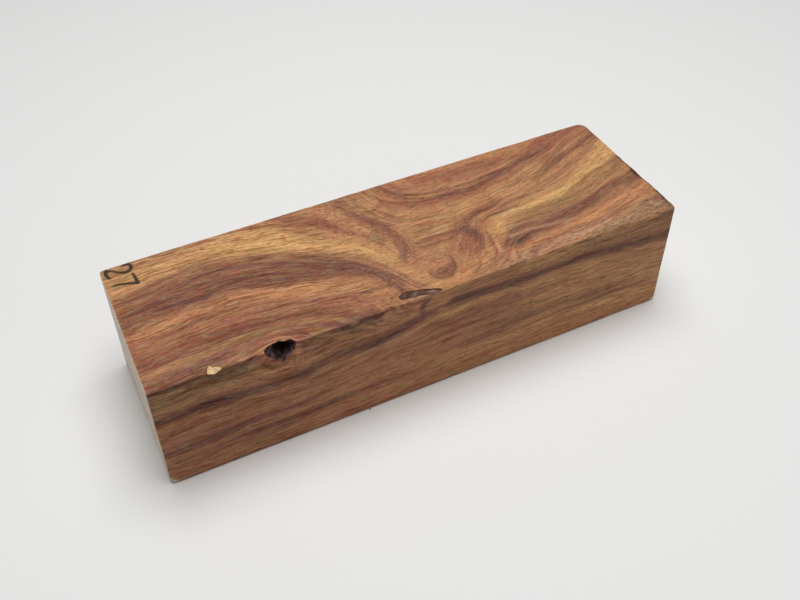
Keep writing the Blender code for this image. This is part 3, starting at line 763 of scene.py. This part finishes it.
        (0.7, 0.42, [(34, -16.6, 0.08), (39, -17.3, 0.25), (45, -17.2, 0.25), (49, -16.9, 0.08)]),
        (0.6, 0.42, [(25.5, -8, 0.08), (29, -8.4, 0.25), (33, -8.9, 0.2), (36, -9.6, 0.08)]),
        (0.6, 0.42, [(24, -3.3, 0.1), (29, -3.1, 0.25), (33, -3, 0.1)]),
        (0.55, 0.42, [(8.4, -1, 0.1), (11, -0.9, 0.3), (13.6, -0.9, 0.1)]),
        (0.55, 0.42, [(8.6, -2.2, 0.1), (10.6, -2.2, 0.3), (12.8, -2.3, 0.1)]),
    ],
    "dark": [  # thin lines between the layers, and painted shade along the torn front edge and the back edge
        # painted shade in the bites and nicks under the torn front edge
        (0.8, 0.4, [(-66, -20.3, 0.35), (-62, -20.2, 0.3), (-58, -20.3, 0.45), (-54, -20.4, 0.3),
         (-50.5, -20.9, 0.5), (-48, -20.5, 0.3), (-45.5, -20.8, 0.5), (-43.5, -20.3, 0.3),
         (-42, -20.2, 0.1)]),
        (0.6, 0.7, [(-57, -21.2, 0.2), (-51, -21.6, 0.6), (-46, -21.5, 0.5), (-43, -21.2, 0.2)]),
        (0.85, 0.45, [(-30, -20.3, 0.1), (-28, -20.6, 0.4), (-26, -20.3, 0.3), (-23.6, -21, 0.7),
         (-21, -20.5, 0.4), (-19.2, -21.2, 0.6), (-17, -20.4, 0.35), (-14.6, -20.8, 0.5), (-12.5, -20.3, 0.3),
         (-10, -20.3, 0.1)]),
        (0.55, 0.9, [(-26, -21.8, 0.2), (-22.6, -22.4, 0.8), (-18.6, -22, 0.6), (-15, -21.6, 0.3)]),
        # painted shade along the eased back edge
        (0.55, 0.25, [(-66, 20.1, 0.15), (0, 20.1, 0.15), (66, 20.1, 0.15)]),
        (0.5, 0.4, [(-9.6, -19.6, 0.1), (-10, -18.4, 0.25), (-9.4, -17.1, 0.25), (-8, -16.3, 0.22),
         (-6.2, -16, 0.15), (-4.6, -16.4, 0.05)]),
        (0.5, 0.35, [(-60, -6.4, 0.1), (-52, -5.4, 0.25), (-45, -4.8, 0.3), (-40, -4.9, 0.1)]),
        (0.5, 0.35, [(-50, -6.8, 0.1), (-44, -6.3, 0.3), (-37, -6.6, 0.3), (-31, -7.9, 0.1)]),
        (0.5, 0.4, [(-65, -10.4, 0.3), (-56, -10.2, 0.3), (-46, -9.8, 0.4), (-38, -10, 0.4),
         (-28, -11.4, 0.3), (-20, -13.2, 0.2)]),
        (0.5, 0.35, [(-64, -12.4, 0.3), (-56, -12.2, 0.35), (-46, -11.5, 0.3), (-38, -11.6, 0.35),
         (-30, -12.8, 0.3), (-22, -14.6, 0.3), (-16, -15.8, 0.1)]),
        (0.45, 0.35, [(-60, -13.6, 0.1), (-48, -12.8, 0.3), (-36, -12.9, 0.2), (-26, -14.8, 0.3),
         (-18, -16.8, 0.1)]),
        (0.55, 0.5, [(22, 11, 0.2), (28, 11.4, 0.4), (34, 11.6, 0.3), (38, 11.5, 0.1)]),
        (0.72, 0.4, [(2.4, -12.8, 0.1), (1.7, -13.9, 0.25), (2.1, -15.4, 0.3), (3.5, -16.4, 0.34),
         (5.3, -16.2, 0.25), (7.3, -15, 0.1)]),
        (0.55, 0.8, [(24, -14, 0.6), (26, -13, 0.9), (28, -12.2, 0.2)]),
        (0.35, 0.8, [(44, -10.2, 0.3), (48, -9.2, 0.8), (52, -8.2, 0.3)]),
        (0.5, 0.8, [(57, -5.5, 0.2), (62, -5, 0.7), (66, -4, 0.8)]),
        (0.5, 0.35, [(44, -3.3, 0.05), (49, -1.8, 0.25), (55, 0.4, 0.3), (60, 2, 0.35), (66, 4, 0.3)]),
        (0.6, 0.8, [(-58, -28.3, 0.2), (-53, -28.2, 0.8), (-48, -28.6, 0.2)]),
        (0.6, 0.9, [(-35, -29.8, 0.3), (-31.5, -29.8, 1.1), (-28, -29, 0.4)]),
        (0.5, 0.8, [(-22, -28, 0.3), (-16, -27.8, 0.8), (-11, -27, 0.3)]),
        (0.5, 0.4, [(-62, -33.4, 0.2), (-52, -33.5, 0.3), (-42, -33.5, 0.3), (-34, -34, 0.2),
         (-26, -33.6, 0.2)]),
        (0.5, 0.7, [(4, -23.6, 0.4), (8, -24, 0.8), (14, -24.5, 0.5)]),
        (0.5, 0.7, [(19, -25.2, 0.4), (23, -25.3, 0.8), (28, -25, 0.3)]),
        (0.45, 0.6, [(33, -24.9, 0.3), (40, -24.8, 0.6), (48, -25.4, 0.5), (58, -26.3, 0.6)]),
        (0.6, 0.35, [(9, -41, 0.15), (20, -41.2, 0.3), (32, -41.1, 0.3), (42, -41.2, 0.35), (52, -41.3, 0.3),
         (62, -41.7, 0.3)]),
        (0.35, 0.5, [(46, -32.6, 0.3), (52, -32.8, 0.5), (60, -32.6, 0.3)]),
        (0.8, 0.42, [(7.8, -9.6, 0.08), (8.4, -11.2, 0.22), (8.2, -13, 0.27), (7.2, -15.4, 0.27),
         (5.4, -16.6, 0.3), (3.2, -16.4, 0.3), (1.7, -15, 0.3), (1.6, -13.8, 0.15)]),
        (0.75, 0.37, [(10.4, -17.9, 0.08), (11.6, -17.6, 0.22), (13, -16.4, 0.22), (13.8, -14.9, 0.15)]),
        (0.64, 0.34, [(7.4, -1.5, 0.08), (10.2, -1.4, 0.22), (13.6, -1.5, 0.15)]),
        (0.66, 0.37, [(3.6, -3.2, 0.08), (7, -2.8, 0.3), (11, -3, 0.3), (13, -3.6, 0.15)]),
        (0.66, 0.37, [(3.4, -4.9, 0.08), (6.4, -5.3, 0.27), (9.6, -5.3, 0.27), (12.4, -5.8, 0.15)]),
        (0.64, 0.34, [(4.6, 2.8, 0.08), (8, 1.6, 0.22), (12, 1.4, 0.22), (16, 1, 0.15)]),
        (0.62, 0.34, [(6, 4.6, 0.08), (10, 3.4, 0.22), (14, 2.8, 0.22), (18, 2.6, 0.15)]),
        (0.62, 0.37, [(3.6, 0.6, 0.08), (7, 0.2, 0.22), (11, 0.1, 0.27), (16, -0.4, 0.15)]),
        (0.75, 0.42, [(18.4, -1.4, 0.15), (21.4, 0, 0.38), (25, 0.4, 0.3), (29, 1.6, 0.08)]),
        (0.75, 0.4, [(21, -3.4, 0.08), (23.6, -2.4, 0.38), (27.6, -2.4, 0.3), (32, -2.2, 0.15)]),
        (0.85, 0.37, [(-15, -12.6, 0.08), (-12, -12.9, 0.3), (-8.6, -13.1, 0.3), (-7.6, -13.4, 0.08)]),
        (0.75, 0.37, [(1.8, 17.2, 0.08), (3.4, 13.4, 0.22), (6.4, 11.2, 0.22), (10.4, 9.8, 0.27),
         (15, 9, 0.22), (21, 8.6, 0.15)]),
        (0.72, 0.37, [(4.4, 19.4, 0.08), (6, 16, 0.22), (9.2, 13.4, 0.27), (14, 12, 0.22), (20, 11.6, 0.15)]),
        (0.65, 0.5, [(25.4, -19.8, 0.2), (26.8, -18.6, 0.45), (28.6, -17.3, 0.3)]),
        (0.55, 0.4, [(18.6, -20.2, 0.1), (21, -19.7, 0.3), (23.4, -19.9, 0.1)]),
        (0.55, 0.35, [(30, -20.1, 0.1), (33, -19.8, 0.3), (36, -20.1, 0.15), (39, -19.9, 0.3),
         (43, -20.2, 0.1)]),
    ],
    "crack": [  # painted shade and dirt in the gaps between the teeth along the right end, a stain, fine cracks by the knot hole
        # painted shade and dirt in the gaps between the teeth of the right end's top edge
        (1, 0.45, [(64.5, -18.4, 0.3), (64.6, -17.4, 0.05), (64.4, -16, 0.75), (64.8, -14.8, 0.05),
         (64.8, -13, 0.55), (64.9, -11.8, 0.05), (64.9, -9.4, 0.35), (64.9, -7.8, 0.05), (64.6, -4.5, 0.55),
         (64.7, -3, 0.6), (64.8, -1, 0.05), (64.8, 2.6, 0.3), (64.8, 4.4, 0.05)]),
        (0.6, 0.5, [(64.8, -24.8, 0.1), (65, -26.4, 0.5), (65, -28.2, 0.1)]),
        (0.5, 0.3, [(-33.2, -20.5, 0.1), (-33.3, -23, 0.12), (-33.6, -26, 0.1), (-33.5, -29, 0.05)]),
        (0.3, 0.3, [(-31.2, -20.6, 0.08), (-30.9, -22, 0.08), (-31, -23.5, 0.04)]),
        (0.45, 0.3, [(-15.3, -20, 0.12), (-14.9, -23, 0.12), (-14.7, -26, 0.1), (-14.5, -29.5, 0.05)]),
    ],
    "dive": [  # where the fibres come out of the surface steeply
        (1, 3, [(-10, 17, 2.5), (-8, 8, 4), (-4, 1, 5), (1, -6, 5), (6, -11, 5), (13, -8, 4), (16, -3, 2)]),
        (0.9, 2, [(-12, -5.5, 2), (-8, -9, 2.5), (-6, -13, 2.5), (-5, -16, 2)]),
    ],
    "fuzz": [  # where the blade left the fibres standing
        (0.9, 1.6, [(17, -18.6, 0.4), (24, -18.4, 0.9), (32, -18.2, 1.2), (42, -18.2, 1.4), (52, -17.8, 1.7),
         (59, -17.1, 2), (62.4, -16.8, 1.8), (63.8, -16.6, 0.4)]),
    ],
}


# How much of each band is at each place: 0.5 on its edge, 1 well inside
def bandMask(place, strength, soft, line):
    line = smoothLine(line)
    margin = soft + line[:, 2].max()
    near = np.all((place > line[:, :2].min(0) - margin) & (place < line[:, :2].max(0) + margin), axis=1)
    spots = place[near]
    best = np.zeros(len(spots))
    for start, end in zip(line[:-1], line[1:]):
        way = end[:2] - start[:2]
        share = np.clip((spots - start[:2]) @ way / (way @ way), 0, 1)
        gap = np.linalg.norm(spots - start[:2] - share[:, None] * way, axis=1)
        half = start[2] + share * (end[2] - start[2])
        best = np.maximum(best, 0.5 + (half - gap) / (2 * soft))
    mask = np.zeros(len(place))
    mask[near] = strength * np.clip(best, 0, 1)
    return mask


# Marker pen number in the back left corner, its strokes as (x, y, half width)
penNumber = {
    "strokes": [
        [(-59.6, 19.3, 0.26), (-58.3, 19.4, 0.34), (-57.7, 18.6, 0.40), (-58.0, 17.4, 0.42),
         (-59.2, 16.9, 0.40), (-60.6, 17.5, 0.34), (-61.9, 18.6, 0.32), (-63.2, 19.3, 0.36)],
        [(-63.2, 19.3, 0.38), (-63.5, 18.1, 0.40), (-63.2, 16.8, 0.34), (-62.9, 16.2, 0.24)],
        [(-58.0, 15.9, 0.32), (-57.8, 14.2, 0.38), (-57.6, 12.2, 0.42)],
        [(-57.6, 12.2, 0.42), (-60.3, 13.3, 0.40), (-63.1, 13.9, 0.30)],
    ],
    "soft": 1.0,
}


# 0.5 on the edge of a stroke
def penMask(points):
    mask = np.zeros(len(points))
    onTop = points[:, 2] > blank["height"] - 1
    for stroke in penNumber["strokes"]:
        mask[onTop] = np.maximum(mask[onTop], bandMask(points[onTop, :2], 1, penNumber["soft"], stroke))
    return mask


# How deep each point lies below the top and the sides of the blank
def depthBelow(points):
    return np.minimum(blank["height"] - points[:, 2], blank["width"] / 2 - np.abs(points[:, 1]))


# How far each point lies in from the nearer sawn end
def inFromEnd(points):
    x, y, z = points.T
    leftShift, rightShift = endShifts(y, z)
    half = blank["length"] / 2
    return np.minimum(x - (leftShift - half), half + rightShift - x)


def paintFigure():
    data = body.data
    points = np.empty(len(data.vertices) * 3)
    data.vertices.foreach_get("co", points)
    points = points.reshape(-1, 3) / mm
    place, crossways = figurePlace(points)
    wander = np.column_stack([place, crossways]) / figure["wanderSize"]
    place = place + figure["wander"] * np.column_stack([softNoise(wander, 31), softNoise(wander, 32)])
    masks = {pigment: np.maximum.reduce([bandMask(place, *band) for band in bands])
             for pigment, bands in figureBands.items()}
    masks["pen"] = penMask(points)
    run = figure["waxRun"] * smoothStep(*figure["waxRunBelow"], points[:, 2])
    masks["wax"] = smoothStep(*figure["waxEdge"], inFromEnd(points) - run)
    masks["depth"] = np.clip(depthBelow(points) / figure["wellDepth"], 0, 1)
    masks["contrast"] = 1 - figure["fade"] * smoothStep(*figure["fadeOver"], points[:, 0])
    for name, mask in masks.items():
        data.attributes.new(name, "FLOAT", "POINT").data.foreach_set("value", mask.astype(np.float32))
    for name, lines in (("growth", growthLines), ("fibres", fibreLines)):
        field = grainField(place, lines)
        vectors = np.column_stack([field[:, 1], field[:, 0], crossways]).astype(np.float32)
        data.attributes.new(name, "FLOAT_VECTOR", "POINT").data.foreach_set("vector", vectors.ravel())


# Ironwood heartwood, planed and left unfinished: dense and a little oily, so it is matt with a faint sheen,
# finely streaked along the fibres, with pores that are short dark dashes
ironwood = {
    "tan": "#C78F66", "brown": "#A06D53",
    "pigments": {"olive": "#957750", "gold": "#E3AF72", "orange": "#C98A60", "red": "#98594A",
                 # crack also paints shade and dirt in the gaps between the right end's teeth
                 # dark also paints shade along the torn front edge and the back edge
                 "purple": "#6A4340", "pale": "#D2A283", "dark": "#4A2D26", "crack": "#2C1A15"},
    "brownRange": (0.40, 0.60),
    # how far the streaks break up the edge of a band, of a crack, and what is left of that in the swirl
    "ragged": 4.4, "raggedCrack": 1.0, "raggedWhole": 0.25,
    "flecks": [(0.52, 0.72, "#A2563E"), (0.48, 0.30, "#A38C5E")], "fleckStrength": 0.42,
    "pore": "#4A2F25", "poreRange": (0.61, 0.75), "poreStrength": 0.55, "torn": "#BE9678",
    "ink": "#18231F", "inkRun": 0.12, "inkRange": (0.50, 0.60), "inkStrength": 0.90,
    "wax": "#E2D3BD", "waxScale": 180.0, "waxCover": (0.70, 0.97),
    "roughness": (0.50, 0.68), "waxRoughness": 0.42, "ior": 1.53, "sheen": 0.15,
    # relief in metres, and how much of it streaks and pores take and wax leaves
    "relief": 0.00012, "streakHeight": 0.8, "poreHeight": -1.2, "bump": 0.55, "waxBump": 0.12,
    # (lines it follows, along them, across them, through the block from front to back, detail), in mm a cell
    "patterns": {
        "stripe": ("growth", 38, 1.9, 12, 2.0),
        "mottle": ("growth", 3.4, 1.8, 3, 2.0),
        "streak": ("fibres", 8, 0.44, 7, 2.0),
        "vessel": ("fibres", 12, 0.95, 8, 1.0),
        "fibre": ("fibres", 2.0, 0.23, 3, 1.0),  # real fibres are about 0.02 mm wide, drawn coarser to show
        "speckle": ("fibres", 0.75, 0.50, 0.8, 1.0),
        "pore": ("fibres", 1.5, 0.20, 1.0, 0.0),
    },
    # (pattern, lowest and highest value, tone there)
    "tones": [("stripe", 0.32, 0.68, 0.90, 1.08), ("lines", 0.36, 0.64, 0.74, 1.22),
              ("fibre", 0.32, 0.68, 0.84, 1.14)],
    "vesselWidth": (0.02, 0.09), "vesselRange": (0.62, 0.42), "vesselTone": -0.34,
    "speckleRange": (0.34, 0.66), "speckleTone": 0.08, "fuzzTone": 0.24, "darkest": (0.004, 0.003, 0.002),
    # fine lines change the lightness more than the hue: share of the tone in the colour, share added as grey
    "colourShare": 0.72, "greyShare": 0.06,
}


def makeIronwood():
    made, tree = emptyMaterial("planedIronwood")
    wood = ironwood
    fields = {name: addNode(tree, "Attribute", attribute_name=name).outputs["Vector"]
              for name in ("growth", "fibres")}
    masks = {name: addNode(tree, "Attribute", attribute_name=name).outputs["Fac"]
             for name in (*wood["pigments"], "dive", "fuzz", "contrast", "pen", "wax")}
    noise = {}
    for name, (field, along, across, through, detail) in wood["patterns"].items():
        place = addNode(tree, "Mapping", {
            "Vector": fields[field], "Scale": (1 / along, 1 / across, 1 / through),
        })
        noise[name] = addNode(tree, "TexNoise", {
            "Vector": place, "Scale": 1.0, "Detail": detail, "Roughness": 0.6,
        })
    # streaks are cut short to specks where the fibres come out of the surface
    noise["lines"] = addNode(tree, "Mix", {0: masks["dive"], 2: noise["streak"], 3: noise["speckle"]},
                             data_type="FLOAT")

    # base colour, and pigment bands whose edges the streaks break up
    uneven = addNode(tree, "Math", {0: noise["stripe"], 1: noise["streak"]}, operation="ADD")
    uneven = addNode(tree, "Math", {0: uneven, 1: 1.0}, operation="SUBTRACT")
    whole = addNode(tree, "MapRange", {0: masks["dive"], 3: 1.0, 4: wood["raggedWhole"]})
    low, high = wood["brownRange"]
    brownness = addNode(tree, "MapRange", {0: noise["stripe"], 1: low, 2: high},
                        interpolation_type="SMOOTHSTEP")
    colour = addNode(tree, "Mix", {
        0: brownness, 6: linearColour(wood["tan"]), 7: linearColour(wood["brown"]),
    }, data_type="RGBA").outputs[2]
    for pigment, hexCode in wood["pigments"].items():
        mask = masks[pigment]
        ragged = wood["raggedCrack"] if pigment == "crack" else wood["ragged"]
        squared = addNode(tree, "Math", {0: mask, 1: mask}, operation="MULTIPLY")
        edge = addNode(tree, "Math", {0: mask, 1: squared}, operation="SUBTRACT")
        reach = addNode(tree, "Math", {0: edge, 1: ragged}, operation="MULTIPLY")
        reach = addNode(tree, "Math", {0: reach, 1: whole}, operation="MULTIPLY")
        amount = addNode(tree, "Math", {0: uneven, 1: reach, 2: mask},
                         operation="MULTIPLY_ADD", use_clamp=True)
        colour = addNode(tree, "Mix", {0: amount, 6: colour, 7: linearColour(hexCode)},
                         data_type="RGBA").outputs[2]
    for low, high, hexCode in wood["flecks"]:
        fleck = addNode(tree, "MapRange", {
            0: noise["mottle"], 1: low, 2: high, 3: 0.0, 4: wood["fleckStrength"],
        })
        colour = addNode(tree, "Mix", {0: fleck, 6: colour, 7: linearColour(hexCode)},
                         data_type="RGBA").outputs[2]
    torn = addNode(tree, "Math", {0: masks["fuzz"], 1: noise["speckle"]}, operation="MULTIPLY")
    colour = addNode(tree, "Mix", {0: torn, 6: colour, 7: linearColour(wood["torn"])},
                     data_type="RGBA").outputs[2]

    # light and dark streaks, fibres and specks, then the thin dark lines of the vessels
    parts = [addNode(tree, "MapRange", {0: noise[name], 1: low, 2: high, 3: dark, 4: light})
             for name, low, high, dark, light in wood["tones"]]
    low, high = wood["speckleRange"]
    specks = addNode(tree, "MapRange", {0: noise["speckle"], 1: low, 2: high, 3: -1.0, 4: 1.0})
    depth = addNode(tree, "MapRange", {0: masks["fuzz"], 3: wood["speckleTone"], 4: wood["fuzzTone"]})
    parts.append(addNode(tree, "Math", {0: specks, 1: depth, 2: 1.0}, operation="MULTIPLY_ADD"))
    offLine = addNode(tree, "Math", {0: noise["vessel"], 1: 0.5}, operation="SUBTRACT")
    offLine = addNode(tree, "Math", {0: offLine}, operation="ABSOLUTE")
    near, far = wood["vesselWidth"]
    vessel = addNode(tree, "MapRange", {0: offLine, 1: near, 2: far, 3: 1.0, 4: 0.0})
    low, high = wood["vesselRange"]
    openness = addNode(tree, "MapRange", {0: noise["lines"], 1: low, 2: high})
    for part in (openness, whole):
        vessel = addNode(tree, "Math", {0: vessel, 1: part}, operation="MULTIPLY")
    parts.append(addNode(tree, "Math", {0: vessel, 1: wood["vesselTone"], 2: 1.0}, operation="MULTIPLY_ADD"))
    tone = 1.0
    for part in parts:
        tone = addNode(tree, "Math", {0: tone, 1: part}, operation="MULTIPLY")
    change = addNode(tree, "Math", {0: tone, 1: 1.0}, operation="SUBTRACT")
    change = addNode(tree, "Math", {0: change, 1: masks["contrast"]}, operation="MULTIPLY")
    tone = addNode(tree, "Math", {0: change, 1: wood["colourShare"], 2: 1.0}, operation="MULTIPLY_ADD")
    grey = addNode(tree, "Math", {0: change, 1: wood["greyShare"]}, operation="MULTIPLY")
    colour = addNode(tree, "VectorMath", {0: colour, 1: tone, 2: grey}, operation="MULTIPLY_ADD")
    colour = addNode(tree, "VectorMath", {0: colour, 1: wood["darkest"]}, operation="MAXIMUM")
    low, high = wood["poreRange"]
    pores = addNode(tree, "MapRange", {0: noise["pore"], 1: low, 2: high, 3: 0.0, 4: wood["poreStrength"]})
    colour = addNode(tree, "Mix", {0: pores, 6: colour, 7: linearColour(wood["pore"])},
                     data_type="RGBA").outputs[2]

    # marker pen: thick ink that has sunk in and run a little along the fibres
    wetEdge = addNode(tree, "Math", {0: noise["fibre"], 1: wood["inkRun"], 2: masks["pen"]},
                      operation="MULTIPLY_ADD")
    low, high = wood["inkRange"]
    ink = addNode(tree, "MapRange", {0: wetEdge, 1: low, 2: high, 3: 0.0, 4: wood["inkStrength"]})
    colour = addNode(tree, "Mix", {0: ink, 6: colour, 7: linearColour(wood["ink"])},
                     data_type="RGBA").outputs[2]

    # the ends are sealed with a milky coat of wax against drying
    thick = addNode(tree, "TexNoise", {
        "Vector": addNode(tree, "TexCoord").outputs["Object"], "Scale": wood["waxScale"], "Detail": 3.0,
    })
    thin, full = wood["waxCover"]
    thick = addNode(tree, "MapRange", {0: thick, 1: 0.35, 2: 0.65, 3: thin, 4: full})
    coat = addNode(tree, "Math", {0: masks["wax"], 1: thick}, operation="MULTIPLY")
    colour = addNode(tree, "Mix", {0: coat, 6: colour, 7: linearColour(wood["wax"])},
                     data_type="RGBA").outputs[2]

    smooth, rough = wood["roughness"]
    rough = addNode(tree, "MapRange", {0: noise["streak"], 1: 0.35, 2: 0.65, 3: rough, 4: smooth})
    rough = addNode(tree, "Mix", {0: masks["wax"], 2: rough, 3: wood["waxRoughness"]}, data_type="FLOAT")
    height = addNode(tree, "Math", {0: pores, 1: wood["poreHeight"], 2: noise["fibre"]},
                     operation="MULTIPLY_ADD")
    height = addNode(tree, "Math", {0: change, 1: wood["streakHeight"], 2: height}, operation="MULTIPLY_ADD")
    strength = addNode(tree, "MapRange", {0: masks["wax"], 3: wood["bump"], 4: wood["waxBump"]})
    bump = addNode(tree, "Bump", {"Strength": strength, "Distance": wood["relief"], "Height": height})
    shader = addNode(tree, "BsdfPrincipled", {
        "Base Color": colour, "Roughness": rough, "IOR": wood["ior"], "Specular IOR Level": wood["sheen"],
        "Normal": bump,
    })
    addNode(tree, "OutputMaterial", {"Surface": shader})
    return made


# The other finishes: three tones through noise, the painted shade deep down and from which to which depth
# (mm) it sets in, noise cells per metre, roughness, bump in metres
plainFinishes = {
    # crumbling bark in the knot: dry, matt, purple-brown lumps, darkened with painted shade further down
    "decayedBark": (("#33231F", "#4E3A3C", "#705A5A"), "#3A2A2C", (1.6, 4.4), 900, (0.75, 0.95), 0.0004),
    # bark soaked with resin: a brown core with a faint gloss, in a groove darkened with painted shade
    "resinousBark": (("#4A342B", "#664A3E", "#8A6B5C"), "#3E2A22", (0.30, 0.90), 700, (0.50, 0.72), 0.0002),
    # freshly split wood: pale, dry, matt
    "freshSplit": (("#D0A878", "#EBC795", "#F2D9AE"), "#D0A878", (1.0, 2.5), 1500, (0.75, 0.85), 0.00012),
}
plainSurface = {
    "ior": 1.53, "sheen": 0.12, "bump": 0.8, "toneRange": (0.30, 0.70), "roughRange": (0.35, 0.65),
}


def makePlainFinish(name):
    tones, paintedShadeTone, depths, scale, (smooth, rough), relief = plainFinishes[name]
    made, tree = emptyMaterial(name)
    place = addNode(tree, "TexCoord").outputs["Object"]
    noise = addNode(tree, "TexNoise", {"Vector": place, "Scale": scale, "Detail": 3.0})
    low, high = plainSurface["toneRange"]
    ramp = addNode(tree, "ValToRGB", {"Fac": addNode(tree, "MapRange", {0: noise, 1: low, 2: high})})
    ramp.color_ramp.elements.new(0.5)
    for element, tone in zip(ramp.color_ramp.elements, tones):
        element.color = linearColour(tone)
    # painted shade: the colour darkens with depth below the surface
    depth = addNode(tree, "Attribute", attribute_name="depth").outputs["Fac"]
    start, full = (part / figure["wellDepth"] for part in depths)
    deep = addNode(tree, "MapRange", {0: depth, 1: start, 2: full}, interpolation_type="SMOOTHSTEP")
    colour = addNode(tree, "Mix", {0: deep, 6: ramp, 7: linearColour(paintedShadeTone)}, data_type="RGBA").outputs[2]
    low, high = plainSurface["roughRange"]
    roughness = addNode(tree, "MapRange", {0: noise, 1: low, 2: high, 3: rough, 4: smooth})
    bump = addNode(tree, "Bump", {"Strength": plainSurface["bump"], "Distance": relief, "Height": noise})
    shader = addNode(tree, "BsdfPrincipled", {
        "Base Color": colour, "Roughness": roughness, "IOR": plainSurface["ior"],
        "Specular IOR Level": plainSurface["sheen"], "Normal": bump,
    })
    addNode(tree, "OutputMaterial", {"Surface": shader})
    return made


planedIronwood = makeIronwood()
decayedBark, resinousBark, freshSplit = (makePlainFinish(name) for name in plainFinishes)
body.data.materials.append(planedIronwood)
carveBody()
print("hole, pocket, chip and splinter carved:", len(body.data.polygons), "faces")
paintFigure()
print("figure painted")


# Floor and light: a white sheet under a broad soft light
studio = {
    "floor": "#F0F0EF", "floorRoughness": 0.9, "floorSize": 3.0,
    # each lamp: (place in metres, size in metres, watts)
    "lamps": {"overhead": ((0.02, 0.03, 0.6), 0.45, 3.5), "fill": ((0.25, -0.38, 0.28), 0.30, 0.08)},
    "skyColour": "#FFFFFF", "skyStrength": 0.10,
}


def buildStudio():
    size = studio["floorSize"] / 2 / mm
    floor = meshObject("floor", [(-size, -size, 0), (size, -size, 0), (size, size, 0), (-size, size, 0)],
                       [(0, 1, 2, 3)])
    paper, tree = emptyMaterial("whitePaper")
    shader = addNode(tree, "BsdfPrincipled", {
        "Base Color": linearColour(studio["floor"]), "Roughness": studio["floorRoughness"],
    })
    addNode(tree, "OutputMaterial", {"Surface": shader})
    floor.data.materials.append(paper)
    for name, (place, across, power) in studio["lamps"].items():
        lamp = bpy.data.objects.new(name, bpy.data.lights.new(name, "AREA"))
        scene.collection.objects.link(lamp)
        lamp.data.energy = power
        lamp.data.shape = "SQUARE"
        lamp.data.size = across
        lamp.location = place
        lamp.rotation_euler = (-Vector(place)).to_track_quat("-Z", "Y").to_euler()
    world = bpy.data.worlds.new("studio")
    world.use_nodes = True
    sky = world.node_tree.nodes["Background"]
    sky.inputs["Color"].default_value = linearColour(studio["skyColour"])
    sky.inputs["Strength"].default_value = studio["skyStrength"]
    scene.world = world


buildStudio()
print("studio lit")

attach(body, "root")
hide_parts("ironwood_block")
